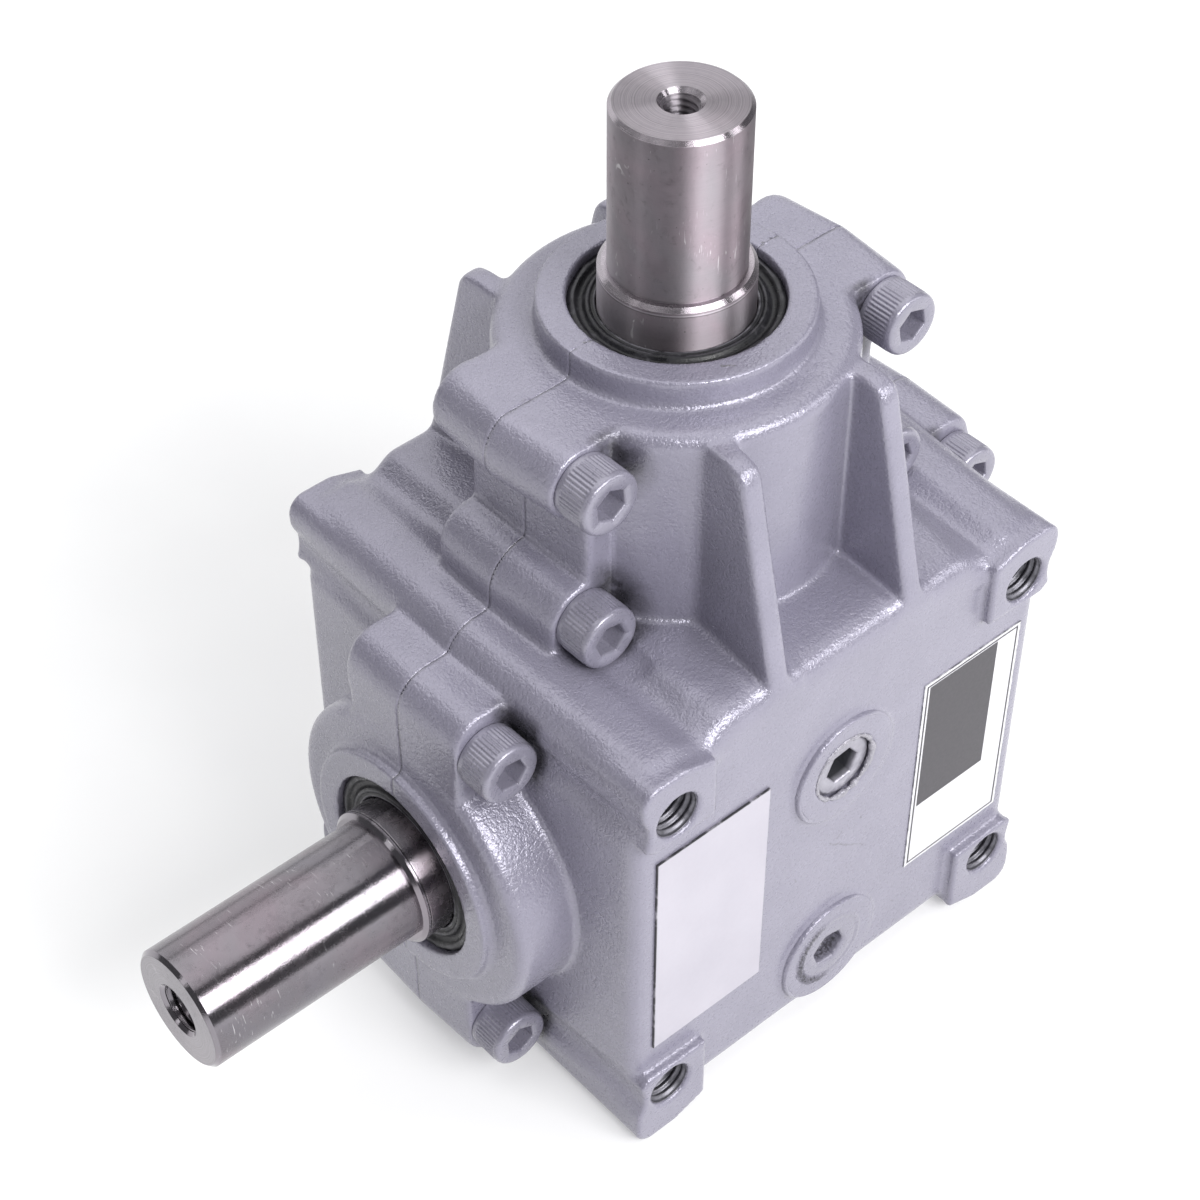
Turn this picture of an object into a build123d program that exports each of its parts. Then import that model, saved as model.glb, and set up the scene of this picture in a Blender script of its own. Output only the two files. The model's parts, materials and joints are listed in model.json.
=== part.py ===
from build123d import *
import os
from math import acos, cos, pi, radians, sin, sqrt, tan

os.makedirs("parts", exist_ok=True)

# Right-angle bevel gearbox with a split cast casing, all sizes in mm.
# Frame: the four front mounting bosses lie on the plane y = 0 and their
# pattern is centred on the origin.  The two shaft axes cross at (0, YC, 0).
# +Z is the vertical shaft, -X is the horizontal shaft, -Y is the front face.

# ---- casing -------------------------------------------------------------
YC = 52.0            # mounting face to the plane of the shaft axes (the seam)
FACE = 49.5          # seam to the cast front face
BLK_X, BLK_Z = 56.2, 54.7   # half width and half height of the block at the seam
PLAT = 56.2          # height of the raised middle of the block's top
BOT_Z = 52.2         # the flat underside, below the axis
DRAFT = 0.953        # front outline over seam outline
TUR_R = 34.0         # outer radius of both shaft turrets
TUR_Z = 98.8         # top of the vertical turret
TUR_X = 68.4         # end of the horizontal turrets
RING_R = 25.76       # raised collar round the seal bores
RING_Z = 104.6
RING_X = 70.7
RIBS = ((-16.9, 0.07), (16.2, 0.0))   # turret ribs: place on the turret and splay
RIB_T = 5.0
MNT_X, MNT_Z = 45.57, 40.65  # mounting holes, half spacing
MNT_R, MNT_D = 4.25, 20.0    # M10 tapped hole, wall radius and depth
REAR_X, REAR_Z = 45.0, 40.0  # the rear holes are on a 90 x 80 pattern
CAV = 46.5           # end of the oil space, both axes

# ---- casing screws (M8 x 30 socket head) ---------------------------------
SEAT = 16.3          # seam to the screw seats
EAR_X, EAR_Z1, EAR_Z2 = 37.15, 91.5, 58.7
LUG_X, LUG_Z = 61.2, 39.85
HEAD_R, HEAD_H, HEX_AF = 6.5, 8.0, 6.0
SHANK_R, CLEAR_R, TAP_R = 3.95, 4.5, 4.0
SCREW_L = 30.0

# ---- shafts ---------------------------------------------------------------
END_R = 12.7         # one inch shaft ends
JRN_R = 14.5         # seal journal
SEAT_R = 12.5        # bearing and gear seats
V_END, V_SHO, V_LOW = 145.5, 111.75, 19.0
H_END, H_SHO, H_RGT = 123.3, 75.7, 66.0
KEY_W, KEY_D = 6.35, 3.3     # quarter inch keyway

# ---- bearings (25 x 52 x 15) ------------------------------------------------
BRG_R, BRG_W = 26.0, 15.0
V_UP, V_DN = 80.5, 46.5      # lower faces of the upper and lower bearing
H_BR = 46.8                  # inner faces of the left and right bearing
BALL_R, BALL_N, PCR = 3.97, 9, 19.25
GRV = 4.02                   # race groove radius
INN_R, OUT_R = 17.1, 21.9    # shoulders of inner and outer race
SHIM = 0.5
SEAL_R, SEAL_W = 20.0, 7.0
V_SEAL = V_UP + BRG_W + SHIM   # 96.0
H_SEAL = H_BR + BRG_W + SHIM   # 62.3

# ---- bevel gears ------------------------------------------------------------
TEETH, MOD, FACE_W = 19, 3.5, 14.0
PR = TEETH * MOD / 2
CONE = PR * sqrt(2)
ADD, DED = 0.8 * MOD, 1.2 * MOD
THICK = 0.43 * pi * MOD
K = (CONE - FACE_W) / CONE

# ---- plugs and plates ---------------------------------------------------------
PLUG_R, PAD_R, PAD_H = 7.6, 13.0, 0.8
FILL_Z, DRAIN_Z = 18.7, -36.3

# planes: local x, y of SEAM are model X, Z and its normal points to the front
SEAM = Plane(origin=(0, YC, 0), x_dir=(1, 0, 0), z_dir=(0, -1, 0))
BACK = Plane(origin=(0, YC, 0), x_dir=(1, 0, 0), z_dir=(0, 1, 0))
V_AXIS = Axis((0, YC, 0), (0, 0, 1))
H_AXIS = Axis((0, YC, 0), (1, 0, 0))


def v_plane(z):
    return Plane(origin=(0, YC, z), x_dir=(1, 0, 0), z_dir=(0, 0, 1))


def h_plane(x):
    return Plane(origin=(x, YC, 0), x_dir=(0, 1, 0), z_dir=(1, 0, 0))


# ======================= one half of the casting =================================
# outline of the block at the seam: corner columns with a shallow groove beside
# each of them on the side walls and on top and bottom
quad = [(BLK_X, 35.0), (54.6, 38.5), (54.6, 41.5), (BLK_X, 45.0),
        (BLK_X, BLK_Z), (44.0, BLK_Z), (38.5, 52.3), (33.0, PLAT)]
low = quad[:4] + [(BLK_X, BOT_Z)]
outline = (quad + [(-x, z) for x, z in reversed(quad)]
           + [(-x, -z) for x, z in low] + [(x, -z) for x, z in reversed(low)])

with BuildPart() as half:
    with BuildSketch(SEAM) as base_sk:
        with BuildLine():
            Polyline(*outline, close=True)
        make_face()
        vs = base_sk.vertices()
        fillet([v for v in vs if abs(abs(v.X) - BLK_X) < 0.1 and v.Y > 50], 6.8)
        vs = base_sk.vertices()
        fillet([v for v in vs if abs(abs(v.X) - BLK_X) < 0.1 and v.Y < -50], 5.8)
        vs = base_sk.vertices()
        fillet([v for v in vs if 38.0 < abs(v.X) < 39.0 or abs(abs(v.X) - 44.0) < 0.1], 3.5)
        vs = base_sk.vertices()
        fillet([v for v in vs if abs(abs(v.X) - 33.0) < 0.1], 5.0)
        vs = base_sk.vertices()
        fillet([v for v in vs if abs(v.X) > 54.0 and abs(v.Y) < 46.0], 3.5)
    with BuildSketch(SEAM.offset(FACE)) as face_sk:
        add(scale(base_sk.sketch_local, by=DRAFT))
    loft(ruled=True)
    fillet(half.faces().sort_by(Axis.Y)[0].edges(), 3.2)

    # vertical turret with a rounded rim
    with BuildSketch(v_plane(40)):
        Circle(TUR_R)
    extrude(amount=TUR_Z - 40)
    fillet(half.edges().filter_by(GeomType.CIRCLE).filter_by(
        lambda e: abs(e.center().Z - TUR_Z) < 0.1), 2.6)

    # horizontal turrets, left and right
    with BuildSketch(h_plane(-TUR_X)):
        Circle(TUR_R)
    extrude(amount=2 * TUR_X)
    fillet(half.edges().filter_by(GeomType.CIRCLE).filter_by(
        lambda e: abs(abs(e.center().X) - TUR_X) < 0.1 and e.radius > 30), 2.4)

    # ribs from the turret down to the front edge of the block
    for rx, splay in RIBS:
        rib = Plane(origin=(rx, YC - 28, 0), x_dir=(splay, 1, 0), z_dir=(1, -splay, 0))
        with BuildSketch(rib.offset(-RIB_T / 2)):
            with BuildLine():
                Polyline((0, 46), (0, 97.4), (-6.2, 97.8), (-9.4, 97.2),
                         (-10.9, 95.0), (-21.3, 52.5), (-21.3, 44), close=True)
            make_face()
        extrude(amount=RIB_T)

    # screw ears beside the vertical turret
    for sx in (-1, 1):
        with BuildSketch(SEAM):
            with Locations((sx * 32.4, 74)):
                Rectangle(8.8, 60)
        extrude(amount=SEAT, taper=3)
        with BuildSketch(SEAM):
            with Locations((sx * EAR_X, EAR_Z1), (sx * EAR_X, EAR_Z2)):
                Circle(8.6)
        extrude(amount=SEAT, taper=4)
        with BuildSketch(SEAM):
            with Locations((sx * 31.6, EAR_Z1 + 1)):
                Rectangle(11.1, 19.2)
        extrude(amount=SEAT, taper=4)
        with BuildSketch(SEAM):
            with Locations((sx * 31.6, 57.0)):
                Rectangle(11.1, 20.6)
        extrude(amount=SEAT, taper=4)
        with BuildSketch(SEAM):
            with Locations((sx * 35.9, 54.0)):
                Rectangle(19.7, 9.4)
        extrude(amount=SEAT, taper=4)

        # square screw lugs above and below the horizontal turret
        for sz in (-1, 1):
            with BuildSketch(SEAM) as lug_sk:
                with Locations((sx * (TUR_X + 48) / 2, sz * 34.9)):
                    Rectangle(TUR_X - 48, 29.8)
                fillet(lug_sk.vertices().sort_by(lambda v: -abs(v.X) - abs(v.Y))[0], 7.0)
            extrude(amount=SEAT, taper=2)

    # mounting bosses: corner column with a scalloped outer side
    for sx in (-1, 1):
        for sz, top in ((1, 51.5), (-1, 53.9)):
            with BuildSketch(SEAM.offset(YC)) as boss_sk:
                with BuildLine():
                    Polyline(*[(sx * x, sz * z) for x, z in (
                        (36.0, 34.4), (51.0, 34.0), (53.3, 35.6), (52.6, 38.6), (52.6, 41.4),
                        (54.0, 44.6), (54.2, 47.0), (54.2, top), (44.0, top), (36.0, top - 2.6))],
                        close=True)
                make_face()
                fillet([v for v in boss_sk.vertices()
                        if abs(abs(v.X) - 54.2) < 0.1 and abs(abs(v.Y) - top) < 0.1], 4.0)
            extrude(amount=-(24.0 if sz > 0 else 46.0))

    # raised pads for the two plugs
    for pz in (FILL_Z, DRAIN_Z):
        with BuildSketch(SEAM.offset(FACE - 2)):
            with Locations((0, pz)):
                Circle(PAD_R)
        extrude(amount=2 + PAD_H)

    # trim the ears level with the turret top, keep the front half
    with Locations((0, YC, TUR_Z + 10)):
        Box(140, 140, 20, mode=Mode.SUBTRACT)
    split(bisect_by=SEAM, keep=Keep.TOP)

    # raised collars round the seal bores
    with BuildSketch(v_plane(TUR_Z - 1)):
        Circle(RING_R)
    extrude(amount=RING_Z - TUR_Z + 1)
    with BuildSketch(h_plane(-RING_X)):
        Circle(RING_R)
    extrude(amount=2 * RING_X)
    split(bisect_by=SEAM, keep=Keep.TOP)

    # oil space and bearing bores
    with BuildSketch(h_plane(-36)):
        RectangleRounded(86, 92, 9)
    extrude(amount=72, mode=Mode.SUBTRACT)
    with BuildSketch(SEAM):
        with BuildLine():
            Polyline((-RING_X - 1, 0), (-RING_X - 1, SEAL_R), (-H_SEAL, SEAL_R), (-H_SEAL, BRG_R),
                     (-CAV, BRG_R), (-CAV, 33), (-38, 33), (-38, 37.5), (38, 37.5), (38, 33),
                     (CAV, 33), (CAV, BRG_R), (H_SEAL, BRG_R), (H_SEAL, SEAL_R),
                     (RING_X + 1, SEAL_R), (RING_X + 1, 0), close=True)
        make_face()
    revolve(axis=H_AXIS, revolution_arc=360, mode=Mode.SUBTRACT)
    with BuildSketch(SEAM):
        with BuildLine():
            Polyline((0, -38), (37.5, -38), (37.5, 38), (33, 38), (33, CAV), (BRG_R, CAV),
                     (BRG_R, V_DN + BRG_W), (24.2, V_DN + BRG_W), (24.2, V_UP), (BRG_R, V_UP),
                     (BRG_R, V_SEAL), (SEAL_R, V_SEAL), (SEAL_R, RING_Z + 1), (0, RING_Z + 1),
                     close=True)
        make_face()
    revolve(axis=V_AXIS, revolution_arc=360, mode=Mode.SUBTRACT)

screw_xz = ([(sx * EAR_X, z) for sx in (-1, 1) for z in (EAR_Z1, EAR_Z2)]
            + [(sx * LUG_X, sz * LUG_Z) for sx in (-1, 1) for sz in (-1, 1)])
dowel_xz = [(-48.0, -45.4), (48.0, 46.5)]

with BuildPart() as front_casing:
    add(half.part)
    with BuildSketch(SEAM):
        with Locations(*screw_xz):
            Circle(CLEAR_R)
    extrude(amount=SEAT + 12, mode=Mode.SUBTRACT)
    # room for the heads and a flat seat where the turrets come close
    with BuildSketch(SEAM.offset(SEAT)):
        with Locations(*screw_xz):
            Circle(HEAD_R + 0.5)
    extrude(amount=14, mode=Mode.SUBTRACT)
    with BuildSketch(SEAM):
        with Locations(*dowel_xz):
            Circle(3.0)
    extrude(amount=8.2, mode=Mode.SUBTRACT)
    # mounting holes with a small chamfer
    with BuildSketch(SEAM.offset(YC)):
        with GridLocations(2 * MNT_X, 2 * MNT_Z, 2, 2):
            Circle(MNT_R)
    extrude(amount=-MNT_D, mode=Mode.SUBTRACT)
    with BuildSketch(SEAM.offset(YC)):
        with GridLocations(2 * MNT_X, 2 * MNT_Z, 2, 2):
            Circle(MNT_R + 0.4)
    extrude(amount=-0.4, taper=44, mode=Mode.SUBTRACT)
    # tapped holes of the plugs
    with BuildSketch(SEAM.offset(FACE + PAD_H)):
        with Locations((0, FILL_Z), (0, DRAIN_Z)):
            Circle(PLUG_R)
    extrude(amount=-(FACE + PAD_H - 40), mode=Mode.SUBTRACT)
front_casing.part.label = "front_casing"

with BuildPart() as rear_casing:
    mirror(half.part, about=SEAM)
    with BuildSketch(BACK):
        with Locations(*[(x, -z) for x, z in screw_xz]):
            Circle(TAP_R)
    extrude(amount=15.0, mode=Mode.SUBTRACT)
    with BuildSketch(BACK):
        with Locations(*[(x, -z) for x, z in dowel_xz]):
            Circle(3.0)
    extrude(amount=8.2, mode=Mode.SUBTRACT)
    with BuildSketch(BACK.offset(YC)):
        with GridLocations(2 * REAR_X, 2 * REAR_Z, 2, 2):
            Circle(MNT_R)
    extrude(amount=-MNT_D, mode=Mode.SUBTRACT)
    with BuildSketch(BACK.offset(YC)):
        with GridLocations(2 * REAR_X, 2 * REAR_Z, 2, 2):
            Circle(MNT_R + 0.4)
    extrude(amount=-0.4, taper=44, mode=Mode.SUBTRACT)
rear_casing.part.label = "rear_casing"

# ======================= fasteners, plugs, plates =================================
with BuildPart() as casing_screws:
    with BuildSketch(SEAM.offset(SEAT)):
        with Locations(*screw_xz):
            Circle(HEAD_R)
    extrude(amount=HEAD_H)
    chamfer(casing_screws.faces().sort_by(Axis.Y)[0:8].edges(), 0.7)
    with BuildSketch(SEAM.offset(SEAT)):
        with Locations(*screw_xz):
            Circle(SHANK_R)
    extrude(amount=-SCREW_L)
    with BuildSketch(SEAM.offset(SEAT + HEAD_H)):
        with Locations(*screw_xz):
            RegularPolygon(HEX_AF / 2, 6, major_radius=False, rotation=30)
    extrude(amount=-4.6, mode=Mode.SUBTRACT)
casing_screws.part.label = "casing_screws"

with BuildPart() as casing_dowels:
    with BuildSketch(SEAM.offset(-8)):
        with Locations(*dowel_xz):
            Circle(3.0)
    extrude(amount=16)
    chamfer(casing_dowels.edges().filter_by(GeomType.CIRCLE), 0.5)
casing_dowels.part.label = "casing_dowels"

with BuildPart() as filler_plug:
    with BuildSketch(SEAM.offset(40.2)):
        with Locations((0, FILL_Z)):
            Circle(PLUG_R)
    extrude(amount=FACE + PAD_H - 0.3 - 40.2)
    chamfer(filler_plug.edges().filter_by(GeomType.CIRCLE).sort_by(Axis.Y)[0], 0.8)
    with BuildSketch(SEAM.offset(FACE + PAD_H)):
        with Locations((0, FILL_Z)):
            RegularPolygon(4.0, 6, major_radius=False, rotation=30)
    extrude(amount=-6.2, mode=Mode.SUBTRACT)
filler_plug.part.label = "filler_plug"

with BuildPart() as drain_plug:
    with BuildSketch(SEAM.offset(40.2)):
        with Locations((0, DRAIN_Z)):
            Circle(PLUG_R)
    extrude(amount=FACE + PAD_H - 0.5 - 40.2)
    chamfer(drain_plug.edges().filter_by(GeomType.CIRCLE).sort_by(Axis.Y)[0], 0.8)
    with BuildSketch(SEAM.offset(FACE + PAD_H)):
        with Locations((0, DRAIN_Z)):
            RegularPolygon(4.0, 6, major_radius=False, rotation=30)
    extrude(amount=-6.2, mode=Mode.SUBTRACT)
drain_plug.part.label = "drain_plug"

with BuildPart() as data_plate:
    with BuildSketch(SEAM.offset(FACE)):
        with Locations((-34.4, -0.1)):
            Rectangle(28.5, 55.2)
    extrude(amount=0.45)
data_plate.part.label = "data_plate"

with BuildPart() as front_label:
    with BuildSketch(SEAM.offset(FACE)):
        with Locations((35.5, -1.5)):
            Rectangle(27.4, 54.4)
    extrude(amount=0.2)
front_label.part.label = "front_label"

# ======================= shafts =================================================
KEY_V = Plane(origin=(0, YC, 0), x_dir=(0, 0, 1), z_dir=(1, 1, 0))
KEY_H = Plane(origin=(0, YC, 0), x_dir=(-1, 0, 0), z_dir=(0, 1, -1))

with BuildPart() as vertical_shaft:
    with BuildSketch(SEAM):
        with BuildLine():
            Polyline((0, V_LOW), (SEAT_R - 1, V_LOW), (SEAT_R, V_LOW + 1), (SEAT_R, 22.5),
                     (SEAT_R - 0.6, 22.5), (SEAT_R - 0.6, 24.0), (SEAT_R, 24.0),
                     (SEAT_R, V_SEAL - SHIM), (JRN_R, V_SEAL - SHIM), (JRN_R, V_SHO - 0.8),
                     (JRN_R - 0.8, V_SHO), (END_R, V_SHO), (END_R, V_END - 0.8),
                     (END_R - 0.8, V_END), (0, V_END), close=True)
        make_face()
    revolve(axis=V_AXIS)
    with BuildSketch(SEAM):
        with BuildLine():
            Polyline((0, V_END + 1), (4.3, V_END + 1), (4.3, V_END), (3.4, V_END - 0.9),
                     (3.4, V_END - 18), (0, V_END - 20), close=True)
        make_face()
    revolve(axis=V_AXIS, mode=Mode.SUBTRACT)
    with BuildSketch(KEY_V.offset(END_R - KEY_D)):
        with Locations((V_END - 16.5, 0)):
            SlotOverall(25, KEY_W)
    extrude(amount=8, mode=Mode.SUBTRACT)
    with BuildSketch(Plane(origin=(8.5, YC, 0), x_dir=(0, 0, 1), z_dir=(1, 0, 0))):
        with Locations((34.5, 0)):
            Rectangle(16, 8)
    extrude(amount=8, mode=Mode.SUBTRACT)
vertical_shaft.part.label = "vertical_shaft"

with BuildPart() as horizontal_shaft:
    with BuildSketch(SEAM):
        with BuildLine():
            Polyline((-H_END, 0), (-H_END, END_R - 0.8), (-H_END + 0.8, END_R), (-H_SHO, END_R),
                     (-H_SHO, JRN_R - 0.8), (-H_SHO + 0.8, JRN_R), (-(H_SEAL - SHIM), JRN_R),
                     (-(H_SEAL - SHIM), SEAT_R), (H_SEAL - SHIM, SEAT_R),
                     (H_SEAL - SHIM, SEAT_R - 0.6), (H_SEAL - SHIM + 1.5, SEAT_R - 0.6),
                     (H_SEAL - SHIM + 1.5, SEAT_R), (H_RGT - 1, SEAT_R), (H_RGT, SEAT_R - 1),
                     (H_RGT, 0), close=True)
        make_face()
    revolve(axis=H_AXIS)
    with BuildSketch(SEAM):
        with BuildLine():
            Polyline((-H_END - 1, 0), (-H_END - 1, 5.8), (-H_END, 5.8), (-H_END + 0.7, 5.1),
                     (-H_END + 24, 5.1), (-H_END + 27, 0), close=True)
        make_face()
    revolve(axis=H_AXIS, mode=Mode.SUBTRACT)
    with BuildSketch(KEY_H.offset(END_R - KEY_D)):
        with Locations((H_END - 22.0, 0)):
            SlotOverall(36, KEY_W)
    extrude(amount=8, mode=Mode.SUBTRACT)
    with BuildSketch(Plane(origin=(0, YC, -8.5), x_dir=(1, 0, 0), z_dir=(0, 0, -1))):
        with Locations((-34.5, 0)):
            Rectangle(16, 8)
    extrude(amount=8, mode=Mode.SUBTRACT)
horizontal_shaft.part.label = "horizontal_shaft"

with BuildPart() as vertical_gear_key:
    with BuildSketch(Plane(origin=(8.5, YC, 0), x_dir=(0, 0, 1), z_dir=(1, 0, 0))):
        with Locations((34.5, 0)):
            Rectangle(16, 8)
    extrude(amount=7)
vertical_gear_key.part.label = "vertical_gear_key"

with BuildPart() as horizontal_gear_key:
    with BuildSketch(Plane(origin=(0, YC, -8.5), x_dir=(1, 0, 0), z_dir=(0, 0, -1))):
        with Locations((-34.5, 0)):
            Rectangle(16, 8)
    extrude(amount=7)
horizontal_gear_key.part.label = "horizontal_gear_key"

# ======================= bevel gears ==============================================
# involute tooth of the equivalent spur gear, laid on the plane square to the
# pitch cone; the inner end is the same shape scaled towards the apex
rb = CONE * cos(radians(20))
inv20 = tan(radians(20)) - radians(20)


def half_angle(rho):
    if rho <= rb:
        return THICK / 2 / CONE + inv20
    al = acos(rb / rho)
    return THICK / 2 / CONE + inv20 - (tan(al) - al)


flank = []
for rho in (CONE - DED - 0.9, CONE - DED, rb, CONE - 1.2, CONE, CONE + 1.4, CONE + ADD):
    a = half_angle(rho)
    flank.append((rho * sin(a), rho * cos(a) - CONE))
tooth_pts = flank + [(-u, v) for u, v in reversed(flank)]

with BuildPart() as tooth:
    with BuildSketch(Plane(origin=(PR, 0, PR), x_dir=(0, 1, 0), z_dir=(-1, 0, -1))):
        with BuildLine():
            Polyline(*tooth_pts, close=True)
        make_face()
    with BuildSketch(Plane(origin=(PR * K, 0, PR * K), x_dir=(0, 1, 0), z_dir=(-1, 0, -1))):
        with BuildLine():
            Polyline(*[(u * K, v * K) for u, v in tooth_pts], close=True)
        make_face()
    loft(ruled=True)

c45 = cos(radians(45))
# blank: root cone between the two tooth ends, back cone, hub and bore
ro, zo = PR - DED * c45, PR + DED * c45          # root at the large end
ri, zi = PR * K - DED * K * c45, PR * K + DED * K * c45
blank = [(SEAT_R, 24.0), (ri - 1.2, 24.0), (ri, zi), (ro, zo), (ro - 1.0, zo + 1.0),
         (ro - 1.0, 39.5), (18.0, 41.0), (18.0, V_DN), (SEAT_R, V_DN)]
BORE_KEY = 15.8

with BuildPart(Plane(origin=(0, YC, 0))) as vertical_bevel_gear:
    with BuildSketch(SEAM):
        with BuildLine():
            Polyline(*blank, close=True)
        make_face()
    revolve(axis=V_AXIS)
    with PolarLocations(0, TEETH, start_angle=180):
        add(tooth.part)
    with BuildSketch(v_plane(20)):
        with Locations((SEAT_R, 0)):
            Rectangle(2 * (BORE_KEY - SEAT_R), 8)
    extrude(amount=40, mode=Mode.SUBTRACT)
vertical_bevel_gear.part.label = "vertical_bevel_gear"

H_GEAR_SHIFT = H_BR - V_DN
with BuildPart(Plane(origin=(0, YC, 0), x_dir=(0, 0, 1), z_dir=(-1, 0, 0))) as horizontal_bevel_gear:
    with BuildSketch(SEAM):
        with BuildLine():
            Polyline(*[(-(z + H_GEAR_SHIFT if z > 46 else z), r) for r, z in blank], close=True)
        make_face()
    revolve(axis=H_AXIS)
    with PolarLocations(0, TEETH, start_angle=180 / TEETH):
        add(tooth.part)
    with BuildSketch(h_plane(-60)):
        with Locations((0, -SEAT_R)):
            Rectangle(8, 2 * (BORE_KEY - SEAT_R))
    extrude(amount=40, mode=Mode.SUBTRACT)
horizontal_bevel_gear.part.label = "horizontal_bevel_gear"

# ======================= sleeves, rings, shims, end cap ===========================
with BuildPart() as vertical_spacer:
    with BuildSketch(v_plane(V_DN + BRG_W)):
        Circle(15.5)
        Circle(SEAT_R, mode=Mode.SUBTRACT)
    extrude(amount=V_UP - V_DN - BRG_W)
vertical_spacer.part.label = "vertical_spacer"

with BuildPart() as horizontal_spacer:
    with BuildSketch(h_plane(-24.0)):
        Circle(15.5)
        Circle(SEAT_R, mode=Mode.SUBTRACT)
    extrude(amount=24.0 + H_BR)
horizontal_spacer.part.label = "horizontal_spacer"

with BuildPart() as vertical_retaining_ring:
    with BuildSketch(v_plane(22.5)):
        Circle(15.0)
        Circle(SEAT_R - 0.6, mode=Mode.SUBTRACT)
        with Locations((0, 13.5)):
            Rectangle(7, 6, mode=Mode.SUBTRACT)
        with Locations((5.2, 13.4), (-5.2, 13.4)):
            Circle(0.7, mode=Mode.SUBTRACT)
    extrude(amount=1.5)
vertical_retaining_ring.part.label = "vertical_retaining_ring"

with BuildPart() as horizontal_retaining_ring:
    with BuildSketch(h_plane(H_SEAL - SHIM)):
        Circle(15.0)
        Circle(SEAT_R - 0.6, mode=Mode.SUBTRACT)
        with Locations((0, 13.5)):
            Rectangle(7, 6, mode=Mode.SUBTRACT)
        with Locations((5.2, 13.4), (-5.2, 13.4)):
            Circle(0.7, mode=Mode.SUBTRACT)
    extrude(amount=1.5)
horizontal_retaining_ring.part.label = "horizontal_retaining_ring"

with BuildPart() as vertical_shim:
    with BuildSketch(v_plane(V_SEAL - SHIM)):
        Circle(BRG_R)
        Circle(22.5, mode=Mode.SUBTRACT)
    extrude(amount=SHIM)
vertical_shim.part.label = "vertical_shim"

with BuildPart() as left_shim:
    with BuildSketch(h_plane(-H_SEAL)):
        Circle(BRG_R)
        Circle(22.5, mode=Mode.SUBTRACT)
    extrude(amount=SHIM)
left_shim.part.label = "left_shim"

with BuildPart() as right_shim:
    with BuildSketch(h_plane(H_SEAL - SHIM)):
        Circle(BRG_R)
        Circle(22.5, mode=Mode.SUBTRACT)
    extrude(amount=SHIM)
right_shim.part.label = "right_shim"

with BuildPart() as end_cap:
    with BuildSketch(SEAM):
        with BuildLine():
            Polyline((H_SEAL, SEAL_R), (H_SEAL, 18.4), (H_SEAL + 5.4, 18.4), (H_SEAL + 5.4, 0),
                     (H_SEAL + SEAL_W, 0), (H_SEAL + SEAL_W, SEAL_R - 0.6),
                     (H_SEAL + SEAL_W - 0.6, SEAL_R), close=True)
        make_face()
    revolve(axis=H_AXIS)
end_cap.part.label = "end_cap"

# ======================= oil seals ==================================================
case_pts = [(SEAL_R, 0), (SEAL_R, 6.5), (SEAL_R - 0.5, 7), (16.2, 7), (16.2, 6), (18.9, 6), (18.9, 0)]
lip_pts = [(18.9, 6.0), (16.2, 6.0), (16.2, 7.0), (14.9, 7.0), (14.56, 6.4), (14.95, 5.6),
           (15.2, 4.6), (14.95, 3.9), (14.56, 3.0), (15.1, 1.9), (15.8, 1.3), (17.4, 1.1),
           (17.4, 1.5), (15.82, 1.7), (15.82, 3.1), (16.4, 3.9), (16.3, 5.2), (18.9, 5.3)]

with BuildPart() as vertical_seal_case:
    with BuildSketch(SEAM):
        with BuildLine():
            Polyline(*[(r, V_SEAL + t) for r, t in case_pts], close=True)
        make_face()
    revolve(axis=V_AXIS)
vertical_seal_case.part.label = "vertical_seal_case"

with BuildPart() as vertical_seal_lip:
    with BuildSketch(SEAM):
        with BuildLine():
            Polyline(*[(r, V_SEAL + t) for r, t in lip_pts], close=True)
        make_face()
    revolve(axis=V_AXIS)
vertical_seal_lip.part.label = "vertical_seal_lip"

with BuildPart() as vertical_seal_spring:
    with BuildSketch(SEAM):
        with Locations((16.6, V_SEAL + 2.4)):
            Circle(0.72)
    revolve(axis=V_AXIS)
vertical_seal_spring.part.label = "vertical_seal_spring"

with BuildPart() as horizontal_seal_case:
    with BuildSketch(SEAM):
        with BuildLine():
            Polyline(*[(-H_SEAL - t, r) for r, t in case_pts], close=True)
        make_face()
    revolve(axis=H_AXIS)
horizontal_seal_case.part.label = "horizontal_seal_case"

with BuildPart() as horizontal_seal_lip:
    with BuildSketch(SEAM):
        with BuildLine():
            Polyline(*[(-H_SEAL - t, r) for r, t in lip_pts], close=True)
        make_face()
    revolve(axis=H_AXIS)
horizontal_seal_lip.part.label = "horizontal_seal_lip"

with BuildPart() as horizontal_seal_spring:
    with BuildSketch(SEAM):
        with Locations((-H_SEAL - 2.4, 16.6)):
            Circle(0.72)
    revolve(axis=H_AXIS)
horizontal_seal_spring.part.label = "horizontal_seal_spring"

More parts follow.
